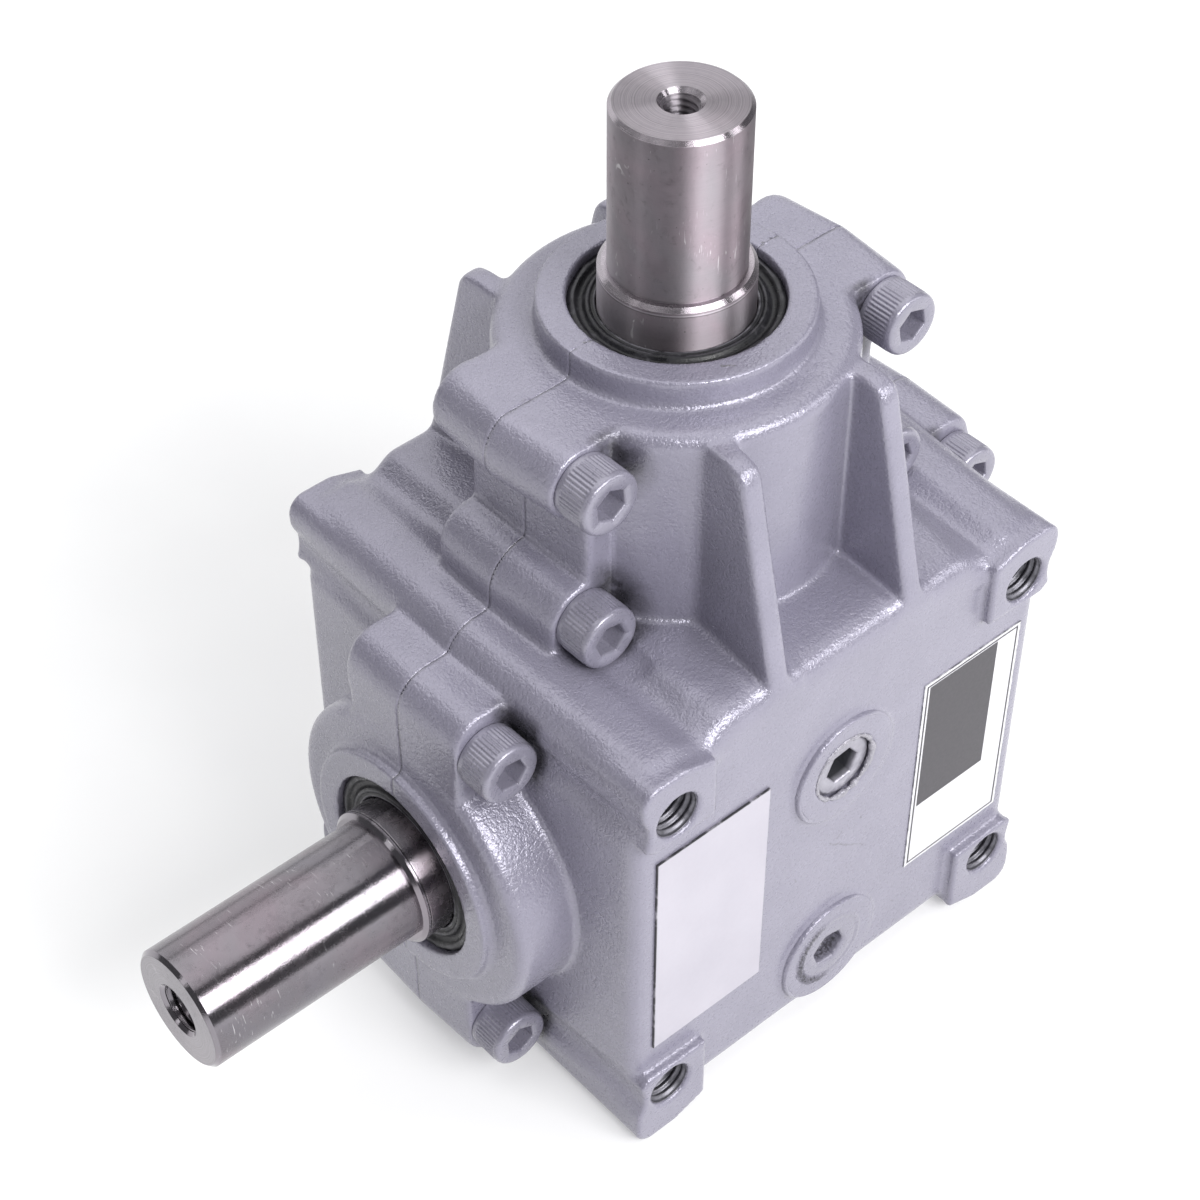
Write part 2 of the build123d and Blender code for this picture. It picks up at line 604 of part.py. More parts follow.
# ======================= ball bearings ================================================
bearings = {
    "upper_bearing": (V_AXIS, v_plane(V_UP + BRG_W / 2)),
    "lower_bearing": (V_AXIS, v_plane(V_DN + BRG_W / 2)),
    "left_bearing": (H_AXIS, h_plane(-H_BR - BRG_W / 2)),
    "right_bearing": (H_AXIS, h_plane(H_BR + BRG_W / 2)),
}
w = BRG_W / 2
for brg, (axis, mid) in bearings.items():
    # section plane through the bearing axis: local x is radial, local y is axial
    sec = Plane(origin=mid.origin, x_dir=mid.x_dir, z_dir=-mid.y_dir)

    with BuildPart() as outer_race:
        with BuildSketch(sec):
            with Locations(((OUT_R + BRG_R) / 2, 0)):
                Rectangle(BRG_R - OUT_R, BRG_W)
            with Locations((PCR, 0)):
                Circle(GRV, mode=Mode.SUBTRACT)
        revolve(axis=axis)
        chamfer(outer_race.edges().filter_by(GeomType.CIRCLE).filter_by(
            lambda e: abs(e.radius - BRG_R) < 0.01), 0.6)
    outer_race.part.label = brg + "_outer_race"
    export_step(outer_race.part, "parts/" + brg + "_outer_race.step")

    with BuildPart() as inner_race:
        with BuildSketch(sec):
            with Locations(((SEAT_R + INN_R) / 2, 0)):
                Rectangle(INN_R - SEAT_R, BRG_W)
            with Locations((PCR, 0)):
                Circle(GRV, mode=Mode.SUBTRACT)
        revolve(axis=axis)
    inner_race.part.label = brg + "_inner_race"
    export_step(inner_race.part, "parts/" + brg + "_inner_race.step")

    with BuildPart(mid) as cage:
        with BuildSketch(mid):
            Circle(20.3)
            Circle(18.2, mode=Mode.SUBTRACT)
        extrude(amount=4.7, both=True)
        with PolarLocations(PCR, BALL_N):
            Cylinder(BALL_R + 0.08, 8, rotation=(0, 90, 0), mode=Mode.SUBTRACT)
    cage.part.label = brg + "_cage"
    export_step(cage.part, "parts/" + brg + "_cage.step")

    with BuildPart(mid) as balls:
        with PolarLocations(PCR, BALL_N):
            Sphere(BALL_R)
    balls.part.label = brg + "_balls"
    export_step(balls.part, "parts/" + brg + "_balls.step")

# ======================= write the pieces ============================================
export_step(front_casing.part, "parts/front_casing.step")
export_step(rear_casing.part, "parts/rear_casing.step")
export_step(casing_screws.part, "parts/casing_screws.step")
export_step(casing_dowels.part, "parts/casing_dowels.step")
export_step(filler_plug.part, "parts/filler_plug.step")
export_step(drain_plug.part, "parts/drain_plug.step")
export_step(data_plate.part, "parts/data_plate.step")
export_step(front_label.part, "parts/front_label.step")
export_step(vertical_shaft.part, "parts/vertical_shaft.step")
export_step(horizontal_shaft.part, "parts/horizontal_shaft.step")
export_step(vertical_gear_key.part, "parts/vertical_gear_key.step")
export_step(horizontal_gear_key.part, "parts/horizontal_gear_key.step")
export_step(vertical_bevel_gear.part, "parts/vertical_bevel_gear.step")
export_step(horizontal_bevel_gear.part, "parts/horizontal_bevel_gear.step")
export_step(vertical_spacer.part, "parts/vertical_spacer.step")
export_step(horizontal_spacer.part, "parts/horizontal_spacer.step")
export_step(vertical_retaining_ring.part, "parts/vertical_retaining_ring.step")
export_step(horizontal_retaining_ring.part, "parts/horizontal_retaining_ring.step")
export_step(vertical_shim.part, "parts/vertical_shim.step")
export_step(left_shim.part, "parts/left_shim.step")
export_step(right_shim.part, "parts/right_shim.step")
export_step(end_cap.part, "parts/end_cap.step")
export_step(vertical_seal_case.part, "parts/vertical_seal_case.step")
export_step(vertical_seal_lip.part, "parts/vertical_seal_lip.step")
export_step(vertical_seal_spring.part, "parts/vertical_seal_spring.step")
export_step(horizontal_seal_case.part, "parts/horizontal_seal_case.step")
export_step(horizontal_seal_lip.part, "parts/horizontal_seal_lip.step")
export_step(horizontal_seal_spring.part, "parts/horizontal_seal_spring.step")
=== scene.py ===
import json
import math

import bpy
import numpy as np
import openvdb
from mathutils import Matrix, Vector


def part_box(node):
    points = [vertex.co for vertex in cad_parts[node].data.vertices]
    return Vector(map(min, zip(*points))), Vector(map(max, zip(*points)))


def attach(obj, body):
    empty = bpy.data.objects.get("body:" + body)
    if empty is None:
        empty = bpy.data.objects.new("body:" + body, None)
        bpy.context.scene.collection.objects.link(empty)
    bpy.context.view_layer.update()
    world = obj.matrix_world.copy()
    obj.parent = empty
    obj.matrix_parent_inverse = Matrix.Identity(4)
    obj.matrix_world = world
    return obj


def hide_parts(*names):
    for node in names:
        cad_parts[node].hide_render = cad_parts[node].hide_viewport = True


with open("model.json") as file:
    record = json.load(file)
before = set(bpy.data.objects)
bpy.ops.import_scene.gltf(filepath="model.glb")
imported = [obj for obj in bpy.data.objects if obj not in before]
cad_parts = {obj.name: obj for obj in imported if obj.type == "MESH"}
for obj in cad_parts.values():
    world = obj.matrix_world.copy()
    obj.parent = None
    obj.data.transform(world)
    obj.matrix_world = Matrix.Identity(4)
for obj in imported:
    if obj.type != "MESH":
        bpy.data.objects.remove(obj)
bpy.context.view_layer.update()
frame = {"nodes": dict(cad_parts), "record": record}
nodes = frame["nodes"]
MM = 0.001

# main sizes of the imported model, in mm, in the row frame
YC = 52.0
SEAT_Y = 35.7
MNT_X, MNT_Z = 45.57, 40.65
REAR_X, REAR_Z = 45.0, 40.0
SCREWS = ([(sx * 37.15, z) for sx in (-1, 1) for z in (91.5, 58.7)]
          + [(sx * 61.2, sz * 39.85) for sx in (-1, 1) for sz in (-1, 1)])
FILL_Z, DRAIN_Z = 18.7, -36.3


# ---------------------------------------------------------------- mesh helpers
def new_piece(name, verts, faces, body, slot, smooth=True, scale=MM):
    me = bpy.data.meshes.new(name)
    v = np.asarray(verts, float) * scale
    if isinstance(faces, np.ndarray) and faces.ndim == 2:
        n, k = faces.shape
        me.vertices.add(len(v))
        me.vertices.foreach_set("co", v.astype(np.float32).ravel())
        me.loops.add(n * k)
        me.loops.foreach_set("vertex_index", faces.astype(np.int32).ravel())
        me.polygons.add(n)
        me.polygons.foreach_set("loop_start", np.arange(0, n * k, k, dtype=np.int32))
        me.polygons.foreach_set("loop_total", np.full(n, k, np.int32))
        me.update(calc_edges=True)
        me.validate()
    else:
        me.from_pydata([tuple(p) for p in v], [], faces)
        me.update()
    if smooth:
        me.polygons.foreach_set("use_smooth", np.ones(len(me.polygons), bool))
    ob = bpy.data.objects.new(name, me)
    bpy.context.scene.collection.objects.link(ob)
    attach(ob, body)
    return ob


def grid_faces(rows, cols, start=0, flip=False):
    """quads of a rows x cols point grid that closes on itself along its columns"""
    i = np.arange(rows - 1)[:, None] * cols
    j = np.arange(cols)[None, :]
    k = (j + 1) % cols
    q = np.stack([i + j, i + k, i + cols + k, i + cols + j], -1).reshape(-1, 4) + start
    return q[:, ::-1] if flip else q


class Rings:
    """closed surface made of rings of points about an axis, from one centre cap to the other"""

    def __init__(self, origin, axis, ref, n):
        self.o = np.array(origin, float)
        self.a = np.array(axis, float)
        self.u = np.array(ref, float)
        self.w = np.cross(self.a, self.u)
        self.t = np.arange(n) * 2 * math.pi / n
        self.n = n
        self.rows = []

    def ring(self, r, h):
        r = np.broadcast_to(np.asarray(r, float), (self.n,))
        h = np.broadcast_to(np.asarray(h, float), (self.n,))
        self.rows.append(self.o + h[:, None] * self.a
                         + (r * np.cos(self.t))[:, None] * self.u
                         + (r * np.sin(self.t))[:, None] * self.w)

    def mesh(self, start=0, loop=False):
        pts = np.concatenate(self.rows)
        f = grid_faces(len(self.rows), self.n)
        if loop:
            last = (len(self.rows) - 1) * self.n
            j = np.arange(self.n)
            k = (j + 1) % self.n
            f = np.concatenate([f, np.stack([last + j, last + k, k, j], -1)])
        return pts, f + start


def join_meshes(parts):
    pts, fac, n = [], [], 0
    for p, f in parts:
        pts.append(p)
        fac.append(f + n)
        n += len(p)
    return np.concatenate(pts), np.concatenate(fac)


def smoothstep(x, a, b):
    t = np.clip((x - a) / (b - a), 0, 1)
    return t * t * (3 - 2 * t)


# ---------------------------------------------------------------- casting surface
VOX = 0.5
SOFT, HARD = 0.72, 0.28


def blur(a, sigma):
    """Gaussian blur along the three axes; sigma in voxels"""
    r = int(math.ceil(2.6 * sigma))
    k = np.exp(-0.5 * (np.arange(-r, r + 1) / sigma) ** 2)
    k = (k / k.sum()).astype(np.float32)
    for ax in range(3):
        p = np.pad(a, [(r, r) if i == ax else (0, 0) for i in range(3)], mode="edge")
        out = np.zeros_like(a)
        n = a.shape[ax]
        for i, w in enumerate(k):
            out += w * p[tuple(slice(i, i + n) if j == ax else slice(None) for j in range(3))]
        a = out
    return a


def sample(a, lo, p):
    """value of grid a at the points p (mm), by linear interpolation"""
    q = (p - lo) / VOX
    q = np.clip(q, 0, np.array(a.shape) - 1.001)
    i = q.astype(int)
    f = q - i
    out = 0
    for dx in (0, 1):
        for dy in (0, 1):
            for dz in (0, 1):
                w = ((f[:, 0] if dx else 1 - f[:, 0]) * (f[:, 1] if dy else 1 - f[:, 1])
                     * (f[:, 2] if dz else 1 - f[:, 2]))
                out = out + w * a[i[:, 0] + dx, i[:, 1] + dy, i[:, 2] + dz]
    return out


def cast_surface(node, side):
    """the casting of one CAD node with rounded cast edges; its machined faces stay as they are.
    side is -1 for the front half and +1 for the rear half"""
    me = nodes[node].data
    me.calc_loop_triangles()
    v = np.zeros(len(me.vertices) * 3, np.float32)
    me.vertices.foreach_get("co", v)
    v = v.reshape(-1, 3) / MM
    t = np.zeros(len(me.loop_triangles) * 3, np.int32)
    me.loop_triangles.foreach_get("vertices", t)
    t = t.reshape(-1, 3)
    if side > 0:
        v = v * [1, -1, 1] + [0, 2 * YC, 0]
        t = t[:, ::-1]
    flat = (np.abs(v[t][:, :, 1] - YC) < 0.01).all(1)
    t = t[~flat]
    both_v = np.concatenate([v, v * [1, -1, 1] + [0, 2 * YC, 0]]).astype(np.float32)
    both_t = np.concatenate([t, t[:, ::-1] + len(v)]).astype(np.uint32)
    tr = openvdb.createLinearTransform(VOX)
    g = openvdb.FloatGrid.createLevelSetFromPolygons(both_v, triangles=both_t, transform=tr, halfWidth=8.0)
    lo_i = np.floor(np.array([-73.0, -2.0, -57.0]) / VOX).astype(int)
    hi_i = np.ceil(np.array([73.0, YC + 9.0, 107.5]) / VOX).astype(int)
    a = np.zeros(tuple(hi_i - lo_i + 1), np.float32)
    g.copyToArray(a, ijk=tuple(int(x) for x in lo_i))
    lo = lo_i * VOX
    X = (lo[0] + VOX * np.arange(a.shape[0]))[:, None, None].astype(np.float32)
    Y = (lo[1] + VOX * np.arange(a.shape[1]))[None, :, None].astype(np.float32)
    Z = (lo[2] + VOX * np.arange(a.shape[2]))[None, None, :].astype(np.float32)

    # how crisp each place is: 1 is machined or inside, 0 is as cast
    rv = np.sqrt(X ** 2 + (Y - YC) ** 2) + 0 * Z
    rh = np.sqrt(Z ** 2 + (Y - YC) ** 2) + 0 * X
    hx, hz = (MNT_X, MNT_Z) if side < 0 else (REAR_X, REAR_Z)
    w = 1 - smoothstep(Y + 0 * X + 0 * Z, 1.0, 2.2)
    w = np.maximum(w, smoothstep(Z + 0 * X + 0 * Y, 100.6, 101.8) * (rv < 30))
    w = np.maximum(w, smoothstep(np.abs(X) + 0 * Y + 0 * Z, 69.2, 70.0) * (rh < 30))
    w = np.maximum(w, (1 - smoothstep(rv, 28.0, 30.0)) * (1 - smoothstep(Z, 94.0, 96.5)))
    w = np.maximum(w, (1 - smoothstep(rh, 28.0, 30.0)) * (1 - smoothstep(np.abs(X), 63.5, 66.0)))
    w = np.maximum(w, 1 - smoothstep(rv, 22.0, 23.5))
    w = np.maximum(w, 1 - smoothstep(rh, 22.0, 23.5))
    w = np.maximum(w, (1 - smoothstep(np.abs(X), 39, 41)) * (1 - smoothstep(np.abs(Y - YC), 44.5, 46.5))
                   * (1 - smoothstep(np.abs(Z), 47.5, 49)))
    for sx, sz in SCREWS:
        d = np.sqrt((X - sx) ** 2 + (Z - sz) ** 2)
        w = np.maximum(w, (1 - smoothstep(d, 6.7, 7.4)) * (1 - smoothstep(np.abs(Y - YC), 17.5, 19)))
    for sx in (-1, 1):
        for sz in (-1, 1):
            d = np.sqrt((X - sx * hx) ** 2 + (Z - sz * hz) ** 2)
            w = np.maximum(w, (1 - smoothstep(d, 5.9, 6.9)) * (1 - smoothstep(Y, 22.0, 24.0)))
    for pz in (FILL_Z, DRAIN_Z):
        d = np.sqrt(X ** 2 + (Z - pz) ** 2)
        w = np.maximum(w, 0.8 * (1 - smoothstep(d, 14.5, 16.5)) * (1 - smoothstep(Y, 4.0, 6.0)))
        w = np.maximum(w, (1 - smoothstep(d, 8.5, 9.5)) * (1 - smoothstep(Y, 9.0, 11.0)))
    w = w.astype(np.float32)

    # tapped mounting holes are opened up for their thread
    soft = blur(a, SOFT / VOX)
    crisp = blur(a, HARD / VOX)
    if side < 0:
        # the front top edge of the block is rounded more, clear of the ribs and the corner bosses
        broad = blur(a, 1.9 / VOX)
        wb = smoothstep(Z, 43.0, 46.0) * (1 - smoothstep(Z, 57.0, 60.0)) * (1 - smoothstep(Y, 10.0, 14.0))
        wb = wb * (1 - smoothstep(np.abs(X), 34.5, 37.5))
        for rib in (-17.2, 16.2):
            wb = wb * smoothstep(np.abs(X - rib), 3.6, 6.0)
        wb = wb.astype(np.float32)
        soft = wb * broad + (1 - wb) * soft
        w = w * (1 - wb)
        del broad
    s = w * crisp + (1 - w) * soft
    for sx in (-1, 1):
        for sz in (-1, 1):
            d = np.sqrt((X - sx * hx) ** 2 + (Z - sz * hz) ** 2)
            s = np.maximum(s, np.minimum(4.95 - d, 19.6 - Y + 0 * X))
            s = np.maximum(s, np.minimum((5.45 - d - Y) / 1.414, 1.5 - Y + 0 * X))
    open_s = s
    s = np.maximum(open_s, (Y - (YC - 0.004)) + 0 * X + 0 * Z)
    out = openvdb.FloatGrid(float(a.max()))
    out.transform = openvdb.createLinearTransform(VOX)
    out.copyFromArray(np.ascontiguousarray(s.astype(np.float32)), ijk=tuple(int(x) for x in lo_i))
    out.gridClass = openvdb.GridClass.LEVEL_SET
    p, q = out.convertToQuads(isovalue=0.0)
    p = np.array(p, np.float64)
    q = np.array(q, np.int64)
    # the rim at the seam is pulled back to a sharp edge
    rim = p[:, 1] > YC - 0.004 - 0.55 * VOX
    p[rim, 1] = YC - 0.004
    near = rim & (sample(open_s, lo, p) > -0.8 * VOX)
    e = 0.15
    for _ in range(3):
        n = p[near]
        d = sample(open_s, lo, n)
        gx = sample(open_s, lo, n + [e, 0, 0]) - sample(open_s, lo, n - [e, 0, 0])
        gz = sample(open_s, lo, n + [0, 0, e]) - sample(open_s, lo, n - [0, 0, e])
        m = np.maximum((gx ** 2 + gz ** 2) / (4 * e * e), 0.1)
        step = np.stack([d * gx / (2 * e) / m, 0 * d, d * gz / (2 * e) / m], 1)
        p[near] = n - np.clip(step, -0.4, 0.4)
    if side > 0:
        p = p * [1, -1, 1] + [0, 2 * YC, 0]
        q = q[:, ::-1]
    # keep the outward winding
    c = p[q].mean(1)
    nrm = np.cross(p[q[:, 1]] - p[q[:, 0]], p[q[:, 2]] - p[q[:, 0]])
    if (c * nrm).sum() < 0:
        q = q[:, ::-1]
    print(node, "vertices", len(p), "quads", len(q))
    ob = new_piece(node + "_casting", p, q, "housing", "painted_casting")
    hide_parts(node)
    return ob


front_casting = cast_surface("front_casing", -1)
rear_casting = cast_surface("rear_casing", 1)


# ---------------------------------------------------------------- threads
def thread(origin, axis, ref, minor, major, pitch, length, wall, n=72, lead=0.0):
    """inside of a tapped hole: a helical ridge on a thin sleeve; axis points into the hole"""
    r = Rings(origin, axis, ref, n)
    per = 10
    steps = int(length / pitch * per)
    for i in range(steps + 1):
        h = i * length / steps
        ph = (h / pitch - r.t / (2 * math.pi)) % 1.0
        tri = 1 - np.abs(2 * ph - 1)                      # 0 at the root, 1 at the crest
        prof = np.clip((tri - 0.12) / 0.70, 0, 1)
        fade = min(1.0, (h + lead) / pitch)
        rad = major - (major - minor) * prof * fade
        r.ring(rad, h)
    r.ring(wall, length)
    r.ring(wall, 0)
    return r.mesh(loop=True)


parts = []
for sx in (-1, 1):
    for sz in (-1, 1):
        parts.append(thread((sx * MNT_X, 0.75, sz * MNT_Z), (0, 1, 0), (1, 0, 0), 4.25, 4.9, 1.5, 18.9, 5.15))
        parts.append(thread((sx * REAR_X, 2 * YC - 0.75, sz * REAR_Z), (0, -1, 0), (1, 0, 0), 4.25, 4.9, 1.5, 18.9, 5.15))
mounting_threads = new_piece("mounting_threads", *join_meshes(parts), "housing", "painted_casting")


# ---------------------------------------------------------------- casing screws
def cap_screw(x, z, turn, seat=SEAT_Y, top=27.7, shank=3.95, length=30.0):
    """socket head cap screw with a knurled head; its axis is along Y and its head faces -Y"""
    n = 288
    r = Rings((x, seat, z), (0, -1, 0), (1, 0, 0), n)
    H = seat - top
    th = r.t
    saw = 0.5 + 0.5 * np.cos(th * 48)
    hexa = 3.0 / np.cos(((th - turn + math.pi / 6) % (math.pi / 3)) - math.pi / 6)
    r.ring(0.001, -length)
    r.ring(shank - 0.9, -length)
    r.ring(shank, -length + 0.9)
    r.ring(shank, -0.001)
    r.ring(6.1, 0.0)
    r.ring(6.36, 0.12)
    r.ring(6.42, 0.35)
    r.ring(6.42, 0.95)
    for h, k in ((1.1, 0.0), (1.35, 0.7), (1.6, 1.0), (3.2, 1.0), (5.0, 1.0), (6.15, 1.0), (6.45, 0.75), (6.7, 0.25)):
        r.ring(6.42 + 0.08 * k - 0.20 * k * saw, h)
    r.ring(6.42, 6.85)
    r.ring(6.40, 7.15)
    r.ring(6.30, 7.50)
    r.ring(6.08, 7.80)
    r.ring(5.80, 7.95)
    r.ring(5.40, 8.0)
    r.ring(np.maximum(hexa, 3.0) * 1.06 + 0.20, 8.0)
    r.ring(hexa * 1.03 + 0.04, 7.86)
    r.ring(hexa, 7.45)
    r.ring(hexa, 3.9)
    r.ring(hexa * 0.96, 3.7)
    r.ring(1.5, 3.1)
    r.ring(0.001, 3.0)
    return r.mesh()


TURNS = {0: 0.1, 1: 0.35, 2: 0.2, 3: 0.3, 4: 0.05, 5: 0.4, 6: 0.25, 7: 0.15}
parts = [cap_screw(x, z, TURNS[i]) for i, (x, z) in enumerate(SCREWS)]
screws = new_piece("casing_screw_set", *join_meshes(parts), "housing", "painted_screw")
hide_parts("casing_screws")


# ---------------------------------------------------------------- threads in the shaft ends
vertical_tap = new_piece("vertical_end_thread",
                         *thread((0, YC, 144.3), (0, 0, -1), (1, 0, 0), 2.93, 3.36, 1.25, 16.4, 3.6, lead=0.4),
                         "vertical_spindle", "ground_steel")
horizontal_tap = new_piece("horizontal_end_thread",
                           *thread((-122.4, YC, 0), (1, 0, 0), (0, 1, 0), 4.52, 5.06, 1.75, 22.4, 5.4, lead=0.4),
                           "horizontal_spindle", "ground_steel")


# ---------------------------------------------------------------- oil seals
def wobble(t, seed, waves, amp):
    """a smooth uneven line round a ring, the same on each run"""
    rng = np.random.default_rng(seed)
    out = np.zeros_like(t)
    for k in range(1, waves + 1):
        out += rng.normal() / math.sqrt(k) * np.cos(k * t + rng.uniform(0, 2 * math.pi))
    return amp * out / 2.2


def seal(origin, axis, ref, seed, grease):
    """rubber covered shaft seal; h is 0 at its outer face and grows outwards"""
    r = Rings(origin, axis, ref, 240)
    t = r.t
    g = grease * np.clip(wobble(t, seed, 26, 0.22), -0.1, 0.5)
    g2 = grease * np.clip(wobble(t, seed + 1, 40, 0.12), -0.1, 0.3)
    r.ring(19.98, -6.9)
    r.ring(19.98, -0.55 + g)
    r.ring(19.75, -0.12 + g)
    r.ring(19.2, 0.02 + g)
    r.ring(18.75, 0.0 + g2)
    r.ring(18.45, -0.12 + g2)
    r.ring(18.25, -0.55)
    r.ring(17.9, -0.95 + g2 * 0.7)
    r.ring(17.35, -1.02)
    r.ring(16.95, -0.85)
    r.ring(16.75, -0.45)
    r.ring(16.45, -0.16 + g2 * 0.5)
    r.ring(16.05, -0.10)
    r.ring(15.8, -0.28)
    r.ring(15.6, -0.55)
    r.ring(15.35, -0.5)
    r.ring(15.05, -0.22 + g2 * 0.4)
    r.ring(14.78, -0.30)
    r.ring(14.6, -0.75)
    r.ring(14.58, -1.4)
    r.ring(15.2, -2.2)
    r.ring(15.6, -6.9)
    return r.mesh(loop=True)


v_seal = new_piece("vertical_shaft_seal", *seal((0, YC, 103.0), (0, 0, 1), (1, 0, 0), 3, 1.0), "housing", "seal_rubber")
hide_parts("vertical_seal_case", "vertical_seal_lip")
h_seal = new_piece("horizontal_shaft_seal", *seal((-69.3, YC, 0), (-1, 0, 0), (0, 1, 0), 8, 0.5), "housing", "seal_rubber")
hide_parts("horizontal_seal_case", "horizontal_seal_lip")


# ---------------------------------------------------------------- plugs
def socket_plug(z, top, af, seed, rough):
    """hex socket plug; its axis is along Y, top is its outer face"""
    r = Rings((0, 0, z), (0, -1, 0), (1, 0, 0), 240)
    th = r.t
    k = af / 2
    hexa = k / np.cos(((th - 0.62 + math.pi / 6) % (math.pi / 3)) - math.pi / 6)
    h = -top
    r.ring(0.001, -11.8)
    r.ring(7.55, -11.8)
    r.ring(7.55, h - 0.9)
    r.ring(7.35, h - 0.75)
    r.ring(6.95, h - 0.35)
    r.ring(6.6, h - 0.08)
    r.ring(6.2, h)
    r.ring(hexa * 1.10 + 0.1, h)
    r.ring(hexa * 1.04 + 0.05, h - 0.10)
    r.ring(hexa, h - 0.5)
    r.ring(hexa, h - 4.6)
    r.ring(hexa * 0.95, h - 4.8)
    r.ring(1.0, h - 5.3)
    r.ring(0.001, h - 5.3)
    return r.mesh()


def sealant_ring(z, y, r0, thick, seed, amp):
    """uneven bead of thread sealant round a plug"""
    n = 220
    r = Rings((0, y, z), (0, -1, 0), (1, 0, 0), n)
    t = r.t
    rng = np.random.default_rng(seed)
    for i in range(9):
        a = 2 * math.pi * i / 9
        f = np.clip(1 + wobble(t, seed + 11, 18, amp) + rng.normal(0, 0.10, n), 0.15, 1.9)
        r.ring(r0 + thick * f * math.cos(a) * 1.15, thick * f * math.sin(a))
    return r.mesh(loop=True)


def arc(t, lo, hi, soft):
    """1 between the angles lo and hi (degrees, counted from +X towards +Z), fading to 0 outside"""
    mid, half = math.radians((lo + hi) / 2), math.radians((hi - lo) / 2)
    d = np.abs((t - mid + math.pi) % (2 * math.pi) - math.pi)
    return 1 - smoothstep(d, half, half + math.radians(soft))


def pad_rim(z, lo, hi, seed):
    """raised edge that the casting has along part of the round pad of a plug"""
    r = Rings((0, 0, z), (0, -1, 0), (1, 0, 0), 360)
    ang = r.t
    w = arc(ang, lo, hi, 32)
    j = wobble(r.t, seed, 60, 0.035)
    for rad, h, k in ((12.0, -1.78, 0.02), (12.25, -1.66, 0.14), (12.5, -1.60, 0.36), (12.75, -1.62, 0.44),
                      (12.95, -1.72, 0.36), (13.1, -2.0, 0.22), (13.2, -2.35, 0.12), (13.3, -2.75, 0.0),
                      (12.6, -2.75, 0.0)):
        r.ring(rad + j * w, h - 0.16 * (1 - w) + k * w + (0.5 * j * w if k else 0 * j))
    return r.mesh(loop=True)


def painted_plug(z, af, seed):
    """plug that was painted over with the casting: soft hex hole, grainy sealant at its rim"""
    r = Rings((0, 0, z), (0, -1, 0), (1, 0, 0), 540)
    t = r.t
    ang = t
    rng = np.random.default_rng(seed)
    k = af / 2
    hx = k / np.cos(((t - 0.35 + math.pi / 6) % (math.pi / 3)) - math.pi / 6)
    hx = 0.72 * hx + 0.28 * k * 1.06 + wobble(t, seed + 3, 14, 0.09)
    left = arc(ang, 120, 245, 38)
    r.ring(0.001, -11.8)
    r.ring(7.55, -11.8)
    r.ring(7.55, -2.4)
    r.ring(9.6, -2.2)
    r.ring(9.6 + wobble(t, seed + 1, 20, 0.15), -1.74)
    for rad, h in ((9.3, -1.66), (9.05, -1.56), (8.8, -1.47), (8.55, -1.42), (8.3, -1.42), (8.05, -1.46),
                   (7.8, -1.52), (7.55, -1.58)):
        grain = rng.normal(0, 0.10, r.n)
        r.ring(rad + 0.10 * rng.normal(0, 1, r.n) * left, h - 0.14 * (1 - left) + grain * left + wobble(t, seed + 2, 30, 0.03))
    r.ring(7.2, -1.66)
    r.ring(6.6, -1.62)
    r.ring(5.8, -1.60)
    r.ring(hx + 1.0, -1.62)
    r.ring(hx + 0.45, -1.72)
    r.ring(hx + 0.12, -1.98)
    r.ring(hx, -2.4)
    r.ring(hx * 0.97, -4.6)
    bed = np.clip(wobble(t, seed + 5, 9, 0.5), -0.6, 0.9)
    r.ring(hx * 0.8, -5.3 + bed + rng.normal(0, 0.08, r.n))
    r.ring(hx * 0.4, -5.6 + 0.6 * bed + rng.normal(0, 0.08, r.n))
    r.ring(0.001, -5.7)
    return r.mesh()


fill = new_piece("filler_socket_plug", *socket_plug(FILL_Z, 2.55, 7.0, 1, 0.0), "housing", "zinc_plug")
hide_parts("filler_plug")
drain = new_piece("drain_socket_plug", *painted_plug(DRAIN_Z, 7.2, 21), "housing", "painted_screw")
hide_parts("drain_plug")
bead1 = new_piece("filler_sealant", *sealant_ring(FILL_Z, 2.0, 7.45, 0.50, 5, 0.50), "housing", "painted_screw")
bead2 = new_piece("filler_pad_rim", *pad_rim(FILL_Z, 75, 205, 31), "housing", "painted_casting")
bead3 = new_piece("drain_pad_rim", *pad_rim(DRAIN_Z, 80, 200, 37), "housing", "painted_casting")


# ---------------------------------------------------------------- materials
def material(name):
    m = bpy.data.materials.new(name)
    m.use_nodes = True
    nt = m.node_tree
    nt.nodes.clear()
    out = nt.nodes.new("ShaderNodeOutputMaterial")
    bs = nt.nodes.new("ShaderNodeBsdfPrincipled")
    nt.links.new(bs.outputs[0], out.inputs[0])
    return m, nt, bs


def add(nt, kind, **kw):
    n = nt.nodes.new(kind)
    for k, v in kw.items():
        if k == "inp":
            for kk, vv in v.items():
                n.inputs[kk].default_value = vv
        else:
            setattr(n, k, v)
    return n


def coords(nt):
    return add(nt, "ShaderNodeTexCoord").outputs["Object"]


def noise(nt, co, scale, detail=3.0, rough=0.55, dist=0.0):
    n = add(nt, "ShaderNodeTexNoise", inp={"Scale": scale, "Detail": detail, "Roughness": rough, "Distortion": dist})
    nt.links.new(co, n.inputs["Vector"])
    return n.outputs["Fac"]


def math_n(nt, op, a, b=None, clamp=False):
    n = add(nt, "ShaderNodeMath", operation=op, use_clamp=clamp)
    for i, x in enumerate((a, b)):
        if x is None:
            continue
        if isinstance(x, (int, float)):
            n.inputs[i].default_value = x
        else:
            nt.links.new(x, n.inputs[i])
    return n.outputs[0]


